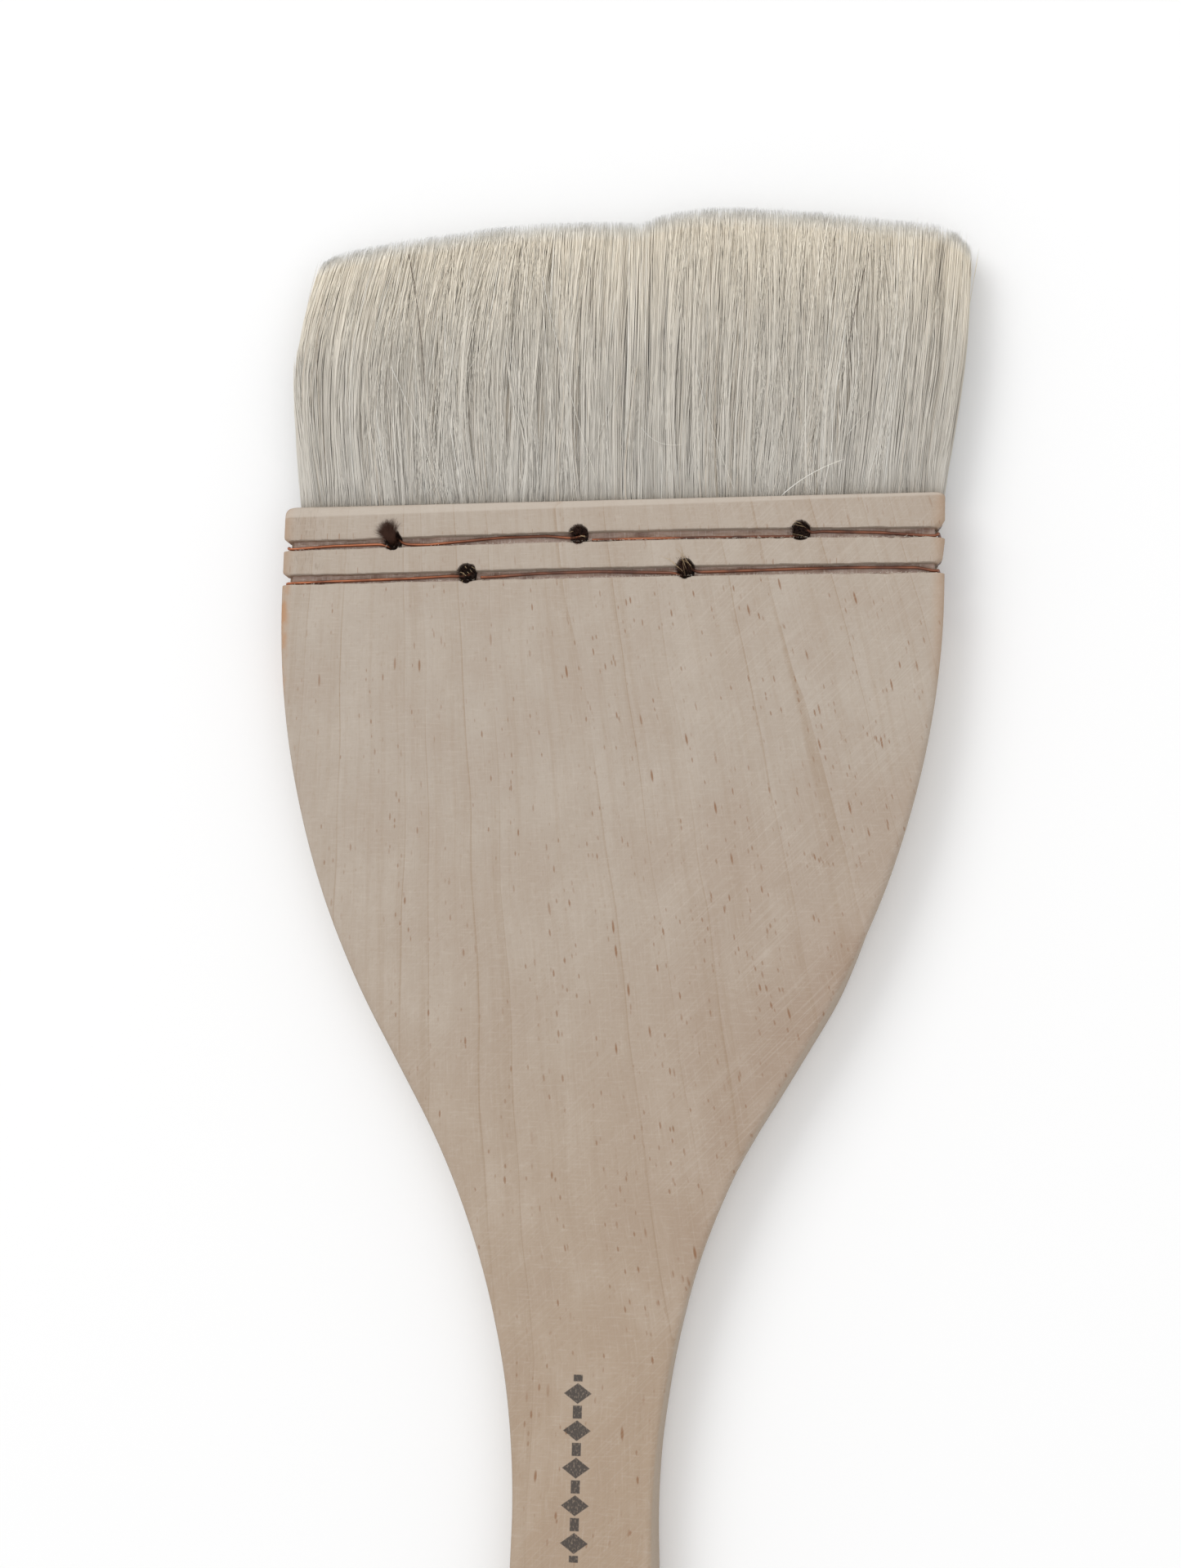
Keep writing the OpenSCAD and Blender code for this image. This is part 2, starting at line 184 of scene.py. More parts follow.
class Shader:
    """One material: its node tree, its places in millimetres and its Principled node."""

    def __init__(self, name: str) -> None:
        """Starts a material with a Principled node."""
        self.material = bpy.data.materials.new(name)
        self.material.use_nodes = True
        self.tree = self.material.node_tree
        self.surface = self.tree.nodes["Principled BSDF"]

    @staticmethod
    def _socket(sockets: Any, key: Any) -> bpy.types.NodeSocket:
        """The socket with this number, identifier or name."""
        if isinstance(key, int):
            return sockets[key]
        return next(s for s in sockets if key in (s.identifier, s.name))

    def link(self, value: Any, socket: bpy.types.NodeSocket) -> None:
        """Puts a number, a colour, a Value or an output socket on an input."""
        if isinstance(value, Value):
            value = value.socket
        if isinstance(value, bpy.types.NodeSocket):
            self.tree.links.new(value, socket)
        elif isinstance(value, tuple) and socket.type == "RGBA":
            socket.default_value = (*value, 1.0)
        else:
            socket.default_value = value

    def node(
        self, kind: str, settings: Mapping[str, Any], inputs: Mapping[Any, Any]
    ) -> bpy.types.Node:
        """Adds a node.

        Args:
            kind: the node's type.
            settings: its own settings, set first. A ramp's stops are (place, colour) pairs.
            inputs: what goes on its input sockets, by number, identifier or name.

        Returns:
            The new node.
        """
        made = self.tree.nodes.new(kind)
        for name, value in settings.items():
            if name == "stops":
                ramp = made.color_ramp.elements
                while len(ramp) < len(value):
                    ramp.new(1.0)
                for element, (place, colour) in zip(ramp, value):
                    element.position, element.color = place, (*colour, 1.0)
            else:
                setattr(made, name, value)
        for key, value in inputs.items():
            self.link(value, self._socket(made.inputs, key))
        return made

    def places(self) -> tuple[Value, Value, Value]:
        """Across, along and above, in millimetres in the row frame."""
        found = self.node("ShaderNodeTexCoord", {}, {})
        inputs = {0: found.outputs["Object"], "Scale": 1 / MM}
        scaled = self.node("ShaderNodeVectorMath", {"operation": "SCALE"}, inputs)
        return self.parts(scaled.outputs[0])

    def parts(self, vector: bpy.types.NodeSocket) -> tuple[Value, Value, Value]:
        """The three numbers of a vector."""
        found = self.node("ShaderNodeSeparateXYZ", {}, {0: vector})
        return tuple(Value(self, s) for s in found.outputs)

    def vector(self, x: Any, y: Any, z: Any) -> bpy.types.NodeSocket:
        """A vector from three numbers."""
        return self.node("ShaderNodeCombineXYZ", {}, {0: x, 1: y, 2: z}).outputs[0]

    def noise(self, x: Any, y: Any, z: Any, detail: float = 2.0, rough: float = 0.5) -> Value:
        """Noise from 0 to 1 with one grain per unit of the place given."""
        inputs = {"Vector": self.vector(x, y, z), "Scale": 1.0, "Detail": detail,
                  "Roughness": rough}
        found = self.node("ShaderNodeTexNoise", {}, inputs)
        return Value(self, found.outputs[0])

    def cells(self, x: Any, y: Any, z: Any) -> tuple[Value, Value]:
        """Scattered points, one per unit of the place given.

        Returns:
            The distance to the nearest point, and a number from 0 to 1 that is that point's own.
        """
        found = self.node("ShaderNodeTexVoronoi", {}, {"Vector": self.vector(x, y, z), "Scale": 1.0})
        own = self.node("ShaderNodeSeparateColor", {}, {0: found.outputs["Color"]})
        return Value(self, found.outputs["Distance"]), Value(self, own.outputs[0])

    def mix(self, share: Any, first: Any, second: Any) -> bpy.types.NodeSocket:
        """A colour from first, where share is 0, to second, where it is 1."""
        settings = {"data_type": "RGBA", "clamp_factor": True}
        inputs = {"Factor_Float": share, "A_Color": first, "B_Color": second}
        found = self.node("ShaderNodeMix", settings, inputs)
        return self._socket(found.outputs, "Result_Color")

    def layered(self, base: Any, *layers: tuple[Any, Any]) -> bpy.types.NodeSocket:
        """A colour with others laid over it in order, as pairs of a share and a colour."""
        for share, colour in layers:
            base = self.mix(share, base, colour)
        return base

    def ramp(self, value: Value, *stops: tuple[float, Colour]) -> bpy.types.NodeSocket:
        """A colour from a number through these stops."""
        found = self.node("ShaderNodeValToRGB", {"stops": stops}, {0: value})
        return found.outputs["Color"]

    def own(self, name: str) -> Value:
        """A number that the mesh carries at each point under this name."""
        found = self.node("ShaderNodeAttribute", {"attribute_name": name}, {})
        return Value(self, found.outputs["Fac"])

    def bump(self, height: Value, depth_mm: float, strength: float = 1.0) -> None:
        """Roughens the surface by a height from 0 to 1 that stands for depth_mm."""
        inputs = {"Height": height, "Distance": depth_mm * MM, "Strength": strength}
        made = self.node("ShaderNodeBump", {}, inputs)
        self.link(made.outputs["Normal"], self.surface.inputs["Normal"])

    def finish(self, **sockets: Any) -> bpy.types.Material:
        """Sets the Principled node's sockets, with _ for each space in a name."""
        for name, value in sockets.items():
            self.link(value, self.surface.inputs[name.replace("_", " ")])
        return self.material


# ---------------------------------------------------------------- finishes


@dataclass(frozen=True)
class RawWood:
    """Fine-sanded, unvarnished pale wood with pores, faint rings, scratches and a stamped motif."""

    mouth_y: float
    plank_t: float
    groove_places: tuple[float, ...]
    groove_half: float
    pale: Colour = srgb(175, 164, 152)
    warm: Colour = srgb(168, 147, 126)
    rosy: Colour = srgb(156, 134, 117)
    line: Colour = srgb(152, 130, 108)
    pore: Colour = srgb(132, 92, 60)
    scratch: Colour = srgb(200, 190, 178)
    # side: painted shade, the darker colour of the side walls and the groove cuts, as if in shadow
    side: Colour = srgb(164, 150, 134)
    stain: Colour = srgb(178, 120, 70)
    smudge: Colour = srgb(128, 112, 96)
    # kerf: painted shade, darker still inside the grooves
    kerf: Colour = srgb(136, 112, 96)
    ink: Colour = srgb(66, 60, 56)
    edge_warmth: Colour = srgb(170, 136, 106)
    ring_fan: float = 0.0045
    ring_drift: float = 0.14
    motif_top: float = 97.5
    motif_end: float = 117.2
    motif_x: float = -0.7
    motif_half: float = 1.6
    motif_marks: int = 5
    stain_x: float = -37.7
    stain_d: float = 15.0
    smudge_x: float = -35.4
    smudge_d: float = 4.2

    def motif(self, s: Shader, x: Value, d: Value, z: Value) -> Value:
        """Where the stamped row of diamonds and dashes lies, worn at its edges."""
        pitch = (self.motif_end - self.motif_top) / self.motif_marks
        along = ((d - self.motif_top) * (1 / pitch)).fraction() - 0.5
        across = abs(x - self.motif_x) * (1 / self.motif_half)
        diamond = (abs(along) * 3.4 + across).rise(1.0, 0.9)
        dash = (abs(abs(along) - 0.5) * (pitch / 0.75)).rise(1.0, 0.85) * across.rise(0.34, 0.28)
        inside = d.near((self.motif_top + self.motif_end) / 2,
                        (self.motif_end - self.motif_top) / 2, 0.05)
        wear = s.noise(x * 6, d * 3, z, 3).rise(0.28, 0.5) * 0.45 + 0.5
        return diamond.most(dash) * inside * wear * z.rise(self.plank_t - 0.5, self.plank_t - 0.3)

    def material(self) -> bpy.types.Material:
        """Builds the wood."""
        s = Shader("raw_wood")
        x, y, z = s.places()
        d = self.mouth_y - y
        # Growth rings fan out to the right on the way down, then run straight in the grip
        fan = (d.least(96) * -self.ring_fan).exponential()
        warp = s.noise(x * 0.05, y * 0.03, z * 0.1, 2) - 0.5
        ring_x = (x + self.ring_drift / self.ring_fan) * fan + warp * 2.4
        spread = s.noise(ring_x * 0.09, y * 0.002, z * 0.05, 2) * 4
        ring = (ring_x * 0.19 + spread).fraction()
        ring_line = ring.rise(0.955, 0.995) * s.noise(ring_x * 0.3, y * 0.03, z, 2).rise(0.3, 0.6)
        fibre = s.noise(ring_x * 7, y * 0.3, z * 6, 3, 0.6)
        streak = s.noise(ring_x * 1.1, y * 0.02, z, 3, 0.55)
        cloud = s.noise(x * 0.03, y * 0.03, z * 0.1, 2)
        mottle = s.noise(x * 0.14, y * 0.09, z * 0.2, 3, 0.6)
        speckle = s.noise(x * 2.2, y * 1.8, z * 2, 3, 0.65)
        chatter = s.noise(x * 0.5, y * 4.2, z, 2, 0.6)
        low = d.rise(20, 120)
        rosy = x.rise(-2, 26) * d.near(66, 22, 22) * cloud.rise(0.35, 0.7) * 0.8
        pores = self.pores(s, ring_x, x, y, z, d)
        scratches = self.scratches(s, x, y, z, d)
        colour = s.layered(
            self.pale,
            (low * 0.85 + cloud * 0.25, self.warm),
            (rosy + mottle.rise(0.42, 0.68) * 0.2, self.rosy),
            (mottle.rise(0.5, 0.3) * 0.14, self.scratch),
            ((ring * 0.12 + streak.rise(0.45, 0.75) * 0.24) + ring_line * 0.5, self.line),
            (fibre.rise(0.52, 0.75) * 0.14 + speckle.rise(0.5, 0.75) * 0.24, self.line),
            (fibre.rise(0.48, 0.25) * 0.16 + chatter.rise(0.5, 0.75) * 0.16, self.scratch),
            (pores * 0.8, self.pore),
            (scratches * 0.22, self.scratch),
        )
        colour = self.marks(s, colour, x, y, z, d, fibre)
        motif = self.motif(s, x, d, z)
        colour = s.mix(motif, colour, self.ink)
        height = fibre * 0.35 + speckle * 0.35 - pores * 0.9 - ring_line * 0.15
        s.bump(height + scratches * 0.35 + chatter * 0.15, 0.05, 0.6)
        rough = 0.68 - scratches * 0.08 + fibre * 0.08 - motif * 0.1
        return s.finish(Base_Color=colour, Roughness=rough, Specular_IOR_Level=0.3)

    def pores(self, s: Shader, ring_x: Value, x: Value, y: Value, z: Value, d: Value) -> Value:
        """Open pores: short dashes along the grain, closer together right of the middle."""
        crowd = s.noise(x * 0.12, y * 0.07, z * 0.1, 2) * 0.5 + x.rise(-30, 16) * 0.2
        lines = s.noise(ring_x * 1.3, y * 0.04, z * 0.3, 2).rise(0.42, 0.58)
        gap, own = s.cells(ring_x * 1.25, y * 0.2, z * 0.4)
        long_pores = gap.rise(0.19, 0.08) * (own + crowd).rise(1.12, 1.3)
        gap, own = s.cells(ring_x * 1.9 + 40, y * 0.42, z)
        short_pores = gap.rise(0.23, 0.1) * (own + crowd).rise(0.92, 1.25) * lines
        gap, own = s.cells(ring_x * 2.6 + 80, y * 0.75, z)
        specks = gap.rise(0.28, 0.12) * (own + crowd).rise(0.95, 1.2) * lines
        found = long_pores.most(short_pores * 0.9).most(specks * 0.7)
        return found * d.rise(9.4, 9.8).most(0.35)

    def scratches(self, s: Shader, x: Value, y: Value, z: Value, d: Value) -> Value:
        """Sanding scratches: fine slanting lines low and right, near level ones at the top left."""
        slant = s.noise((y - x) * 3.4, (x + y) * 0.06, z, 3, 0.65).rise(0.47, 0.66)
        slant = slant * (s.noise(x * 0.08, y * 0.08, z, 1).rise(0.3, 0.6) * 0.7 + 0.3)
        level = s.noise((y - x * 0.25) * 6, x * 0.08, z + 9, 2, 0.6).rise(0.62, 0.74)
        sanded = x.rise(-14, 20).most(d.rise(24, 60) * 0.6)
        return slant * sanded * 0.8 + level * d.rise(70, 25) * x.rise(25, -20) * 0.3

    def marks(self, s: Shader, colour: Any, x: Value, y: Value, z: Value, d: Value,
              fibre: Value) -> bpy.types.NodeSocket:
        """Painted shade on the side walls, in the grooves and in nicks above them; the stain and the
        smudge at the left, a warm band at the head's side edges, the pale sanded edge.
        """
        front = z.rise(self.plank_t - 0.5, self.plank_t - 0.2)
        face = front.most(z.rise(0.5, 0.2))
        grain = s.noise(x * 5, y * 0.6, z, 3).rise(0.3, 0.7)
        ragged = s.noise(x * 1.2, y * 0.5, z * 0.8, 3)
        rubbed = s.noise(x * 4.5, y * 0.9, z, 3).rise(0.5, 0.72)
        nicks = s.noise(x * 4.2, y * 0.15, z, 2).rise(0.64, 0.7)
        stain = x.rise(self.stain_x + 1.1, self.stain_x) * d.near(self.stain_d, 4.5, 3.5)
        smudge = x.near(self.smudge_x, 1.4, 1.6) * d.near(self.smudge_d, 3.2, 1.6)
        # A warmer orange-brown band along both side edges of the head near the mouth
        corners = abs(x).rise(36.2, 38.0) * d.rise(34, 12)
        kerf_shades, lips = [], []
        for place in self.groove_places:
            # Painted shade in each groove's walls and floor, varied by the grain
            kerf = d.near(place, self.groove_half + 0.02, 0.04) * (1 - face)
            kerf_shades.append((kerf * (0.55 + grain * 0.45), self.kerf))
            # Painted shade: dark flecks just above each groove's upper edge, for the shadow in small
            # nicks in the lip
            above = d.near(place - self.groove_half - 0.42, 0.22, 0.2)
            lips.append((nicks * above * front * 0.5, self.pore))
        bevel = (d - (0.82 - x * 0.0125)).rise(0.12, -0.12) * front
        return s.layered(
            colour,
            # Painted shade: the side walls and the grooves darkened as if in shadow
            ((1 - face) * 0.75, self.side),
            *kerf_shades,
            (stain * ragged.rise(0.38, 0.6) * 0.7, self.stain),
            (smudge * rubbed * front * 0.4, self.smudge),
            (corners * (0.3 + ragged * 0.35), self.edge_warmth),
            *lips,
            (bevel * (0.3 + fibre * 0.25), self.scratch),
        )


@dataclass(frozen=True)
class GoatHair:
    """Cream goat hair: cooler and greyer near the wood, warmer at the tips."""

    root: Colour = srgb(204, 199, 190)
    middle: Colour = srgb(222, 215, 202)
    tip: Colour = srgb(250, 240, 221)
    end: Colour = srgb(255, 253, 247)
    tan: Colour = srgb(190, 174, 152)
    white: Colour = srgb(240, 238, 231)
    dark: Colour = srgb(96, 78, 66)
    soak: float = 0.6

    def material(self) -> bpy.types.Material:
        """Builds the hair. tone is each hair's own number and reach is its height at each point."""
        s = Shader("goat_hair")
        tone, reach = s.own("tone"), s.own("reach")
        colour = s.ramp(reach, (0.0, self.root), (0.55, self.middle), (0.92, self.tip),
                        (0.99, self.end))
        varied = reach.rise(1.05, 0.8) * 0.5 + 0.5
        colour = s.layered(
            colour,
            (tone.rise(0.4, 0.06) * 0.6 * varied, self.tan),
            (tone.rise(0.6, 0.95) * 0.6 * varied, self.white),
            (tone.rise(0.04, 0.02), self.dark),
        )
        # Light soaks through real hair, so a hair's sides are shaded almost as its middle is
        found = s.node("ShaderNodeNewGeometry", {}, {})
        across, along, above = s.parts(found.outputs["Normal"])
        outward = above.rise(-0.05, 0.05) * 2 - 1
        leaning = s.vector(across * 0.45, along, above + outward * self.soak)
        settings = {"operation": "NORMALIZE"}
        soft = s.node("ShaderNodeVectorMath", settings, {0: leaning}).outputs[0]
        return s.finish(Base_Color=colour, Roughness=0.5, Specular_IOR_Level=0.3, Normal=soft)


@dataclass(frozen=True)
class DarkFibre:
    """Matted hair ends, from nearly black to tan."""

    # black: partly painted shade, for the shadow deep in the stitch holes, and partly charred hair
    black: Colour = srgb(24, 16, 12)
    brown: Colour = srgb(70, 42, 28)
    tan: Colour = srgb(196, 170, 132)

    def material(self) -> bpy.types.Material:
        """Builds the fibres. tone is each fibre's own number."""
        s = Shader("dark_fibre")
        colour = s.ramp(s.own("tone"), (0.0, self.black), (0.45, self.brown), (0.8, self.brown),
                        (0.86, self.tan))
        return s.finish(Base_Color=colour, Roughness=0.6, Specular_IOR_Level=0.3)


@dataclass(frozen=True)
class TornWood:
    """Loose wood fibres, paler than the sanded face."""

    dull: Colour = srgb(186, 172, 154)
    pale: Colour = srgb(214, 206, 194)

    def material(self) -> bpy.types.Material:
        """Builds the fibres. tone is each fibre's own number."""
        s = Shader("torn_wood")
        colour = s.mix(s.own("tone"), self.dull, self.pale)
        return s.finish(Base_Color=colour, Roughness=0.7, Specular_IOR_Level=0.3)


@dataclass(frozen=True)
class CopperWire:
    """Bare drawn copper, dulled in places, and dark where glue covers it."""

    low_row_y: float
    bright: Colour = srgb(172, 108, 78)
    dull: Colour = srgb(112, 70, 54)
    dark: Colour = srgb(78, 54, 46)

    def material(self) -> bpy.types.Material:
        """Builds the copper."""
        s = Shader("copper_wire")
        x, y, z = s.places()
        patch = s.noise(x * 0.3, y * 0.6, z, 3)
        fine = s.noise(x * 3, y * 5, z * 5, 2)
        coated = x.near(-2, 9, 1.5) * y.near(self.low_row_y, 1, 0.5)
        coated = coated.most(x.near(24, 14, 3) * 0.6).most(x.near(-10, 6, 3) * 0.3)
        colour = s.layered(
            self.bright,
            (patch.rise(0.4, 0.62) * 0.7 + coated * 0.4, self.dull),
            (patch.rise(0.58, 0.72) * 0.6 + fine.rise(0.6, 0.8) * 0.3 + coated * 0.5, self.dark),
        )
        s.bump(fine, 0.02, 0.4)
        return s.finish(Base_Color=colour, Metallic=0.85 - coated * 0.5,
                        Roughness=0.28 + patch * 0.3)


@dataclass(frozen=True)
class GrooveGlue:
    """Thin dried glue over bare wood: brownish pink, streaked and glossy in spots."""

    pink: Colour = srgb(160, 136, 122)
    brown: Colour = srgb(112, 82, 68)
    pale: Colour = srgb(188, 174, 162)

    def material(self) -> bpy.types.Material:
        """Builds the glue."""
        s = Shader("groove_glue")
        x, y, z = s.places()
        patch = s.noise(x * 0.4, y * 0.8, z, 3)
        streak = s.noise(x * 5, y * 0.5, z, 3)
        colour = s.layered(self.pink, (patch.rise(0.42, 0.7) * 0.8, self.brown),
                           (streak.rise(0.5, 0.75) * 0.7, self.pale))
        lumps = s.noise(x * 2.2, y * 2.2, z * 2, 3)
        s.bump(lumps, 0.12, 0.7)
        return s.finish(Base_Color=colour, Roughness=0.16 + patch * 0.4, Coat_Weight=0.3)


@dataclass(frozen=True)
class RootResin:
    """Hard dark resin round the hair roots."""

    dark: Colour = srgb(62, 36, 22)
    amber: Colour = srgb(122, 76, 42)

    def material(self) -> bpy.types.Material:
        """Builds the resin."""
        s = Shader("root_resin")
        x, y, z = s.places()
        patch = s.noise(x * 0.9, y * 0.9, z * 2, 3)
        s.bump(patch, 0.1, 0.6)
        colour = s.mix(patch.rise(0.4, 0.7), self.dark, self.amber)
        return s.finish(Base_Color=colour, Roughness=0.3 + patch * 0.2)


@dataclass(frozen=True)
class StudioFloor:
    """A plain pale floor."""

    white: Colour = srgb(244, 244, 244)

    def material(self) -> bpy.types.Material:
        """Builds the floor."""
        return Shader("studio_floor").finish(
            Base_Color=self.white, Roughness=0.9, Specular_IOR_Level=0.1
        )


# ---------------------------------------------------------------- mesh making


def eased(share: Points) -> Points:
    """A share from 0 to 1 with a soft start and a soft end."""
    return share * share * (3 - 2 * share)


def smooth_share(x: Points, spacing: float) -> tuple[Points, Points]:
    """The step below each place, and a smooth share of the way from it to the next.

    Args:
        x: the places.
        spacing: the length of a step.

    Returns:
        Whole numbers and shares from 0 to 1.
    """
    at = np.asarray(x, float) / spacing
    low = np.floor(at).astype(int)
    return low, eased(at - low)


def unevenness(x: Points, spacing: float, seed: int) -> Points:
    """Smooth random numbers from -1 to 1 along a line.

    Args:
        x: the places, in any shape.
        spacing: the distance between independent numbers.
        seed: which line of numbers.

    Returns:
        A number for each place.
    """
    table = np.random.default_rng(seed).uniform(-1, 1, LINE_NUMBERS)
    low, share = smooth_share(x, spacing)
    return table[low % LINE_NUMBERS] * (1 - share) + table[(low + 1) % LINE_NUMBERS] * share


def unevenness_2d(x: Points, y: Points, x_spacing: float, y_spacing: float, seed: int) -> Points:
    """Smooth random numbers from -1 to 1 over a surface.

    Args:
        x: the places across, in any shape.
        y: the places along.
        x_spacing: the distance across between independent numbers.
        y_spacing: the distance along between them.
        seed: which sheet of numbers.

    Returns:
        A number for each place.
    """
    table = np.random.default_rng(seed).uniform(-1, 1, SHEET_NUMBERS)
    low, share = smooth_share(y, y_spacing)
    left, side = smooth_share(x, x_spacing)

    def row(number: Points) -> Points:
        """The line of numbers with this row number."""
        begin = left + number * ROW_STRIDE
        first, second = table[begin % SHEET_NUMBERS], table[(begin + 1) % SHEET_NUMBERS]
        return first * (1 - side) + second * side

    return row(low) * (1 - share) + row(low + 1) * share


@dataclass
class Blank:
    """Points in millimetres and faces that are about to become one piece."""

    points: Points
    faces: Faces
    numbers: dict[str, Points] = field(default_factory=dict)
    map_places: Optional[Points] = None

    def place(
        self,
        name: str,
        material: bpy.types.Material,
        slot: str,
        stands_for: Sequence[str] = (),
        sharp_from: float = 180.0,
    ) -> bpy.types.Object:
        """Makes the piece, lets it ride on the body and logs it.

        Args:
            name: the piece's name.
            material: its finish.
            slot: not used.
            stands_for: the CAD nodes that it replaces.
            sharp_from: edges that turn by more than this many degrees stay sharp.

        Returns:
            The new object.
        """
        mesh = bpy.data.meshes.new(name)
        corners = np.concatenate([f.ravel() for f in self.faces]).astype(np.int32)
        sizes = np.concatenate([np.full(len(f), f.shape[1]) for f in self.faces]).astype(np.int32)
        mesh.vertices.add(len(self.points))
        mesh.vertices.foreach_set("co", (self.points * MM).astype(np.float32).ravel())
        mesh.loops.add(len(corners))
        mesh.loops.foreach_set("vertex_index", corners)
        mesh.polygons.add(len(sizes))
        mesh.polygons.foreach_set("loop_start", np.cumsum(sizes) - sizes)
        mesh.update(calc_edges=True)
        mesh.polygons.foreach_set("use_smooth", np.ones(len(sizes), bool))
        for key, values in self.numbers.items():
            made = mesh.attributes.new(key, "FLOAT", "POINT")
            made.data.foreach_set("value", np.asarray(values, np.float32))
        if self.map_places is not None:
            layer = mesh.uv_layers.new(name="OFBake")
            layer.uv.foreach_set("vector", self.map_places[corners].astype(np.float32).ravel())
        if sharp_from < 180:
            mesh.set_sharp_from_angle(angle=math.radians(sharp_from))
        made = bpy.data.objects.new(name, mesh)
        bpy.context.scene.collection.objects.link(made)
        return dress(made, material, stands_for)


def dress(
    piece: bpy.types.Object,
    material: bpy.types.Material,
    stands_for: Sequence[str] = (),
) -> bpy.types.Object:
    """Gives a piece its finish and its body, hides the CAD nodes that it stands for, and logs it."""
    piece.data.materials.clear()
    piece.data.materials.append(material)
    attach(piece, BODY)
    if stands_for:
        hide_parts(*stands_for)
    LOG.info("%s: %d faces", piece.name, len(piece.data.polygons))
    return piece


def ring_quads(rings: int, around: int) -> np.ndarray:
    """Faces between rings of points that follow each other."""
    across = np.arange(around)
    low = (np.arange(rings - 1)[:, None] * around + across).ravel()
    low_next = (np.arange(rings - 1)[:, None] * around + (across + 1) % around).ravel()
    return np.stack([low, low_next, low_next + around, low + around], 1)


def solid_of_rings(rings: Points, inside_out: bool = False) -> Blank:
    """A closed solid from rings of points that follow each other.

    Args:
        rings: the points, as rings by places round a ring by coordinates.
        inside_out: whether the faces are turned over.

    Returns:
        The solid, with one face over each end.
    """
    count, around = rings.shape[:2]
    end = np.arange(around)[None]
    faces = [ring_quads(count, around), end[:, ::-1], (count - 1) * around + end]
    if inside_out:
        faces = [corners[:, ::-1] for corners in faces]
    return Blank(rings.reshape(-1, 3), faces)


def pad(front: Points, back: Points, way: int) -> Blank:
    """A closed pad between two sheets of points, which may have ragged and curved edges.

    Args:
        front: the points of one sheet, as rows by columns by coordinates.
        back: the points of the other sheet, in the same order.
        way: 1 or -1, the order of each face's corners.

    Returns:
        The pad.
    """
    rows, columns = front.shape[:2]
    ring = np.concatenate([front, back[:, ::-1]], axis=1)
    around = 2 * columns
    near = np.arange(columns - 1)
    cap = np.stack([near, near + 1, around - 2 - near, around - 1 - near], 1)
    last = (rows - 1) * around
    faces = [ring_quads(rows, around)[:, ::way], cap[:, ::way], (last + cap)[:, ::-way]]
    return Blank(ring.reshape(-1, 3), faces)


def tube(path: Points, radii: Points, sides: int) -> Blank:
    """A closed tube along a path."""
    way = np.gradient(path, axis=0)
    way /= np.linalg.norm(way, axis=1, keepdims=True)
    first = np.cross(way[0], [0.3, 0.8, 0.5])
    sideways = np.empty_like(path)
    sideways[0] = first / np.linalg.norm(first)
    for i in range(1, len(path)):
        turned = sideways[i - 1] - way[i] * (sideways[i - 1] @ way[i])
        sideways[i] = turned / np.linalg.norm(turned)
    other = np.cross(way, sideways)
    turn = np.arange(sides) * (2 * np.pi / sides)
    ring = (np.cos(turn)[None, :, None] * sideways[:, None]
            + np.sin(turn)[None, :, None] * other[:, None])
    return solid_of_rings(path[:, None] + ring * radii[:, None, None])


def joined(blanks: Sequence[Blank]) -> Blank:
    """Several blanks as one, keeping their numbers and, where they all have one, their maps."""
    starts = np.cumsum([0, *(len(b.points) for b in blanks)])
    kinds: dict[int, list[np.ndarray]] = {}
    for blank, start in zip(blanks, starts):
        for faces in blank.faces:
            kinds.setdefault(faces.shape[1], []).append(faces + start)
    numbers = {
        key: np.concatenate([b.numbers[key] for b in blanks]) for key in blanks[0].numbers
    }
    mapped = all(b.map_places is not None for b in blanks)
    return Blank(
        np.concatenate([b.points for b in blanks]),
        [np.concatenate(faces) for faces in kinds.values()],
        numbers,
        np.concatenate([b.map_places for b in blanks]) if mapped else None,
    )


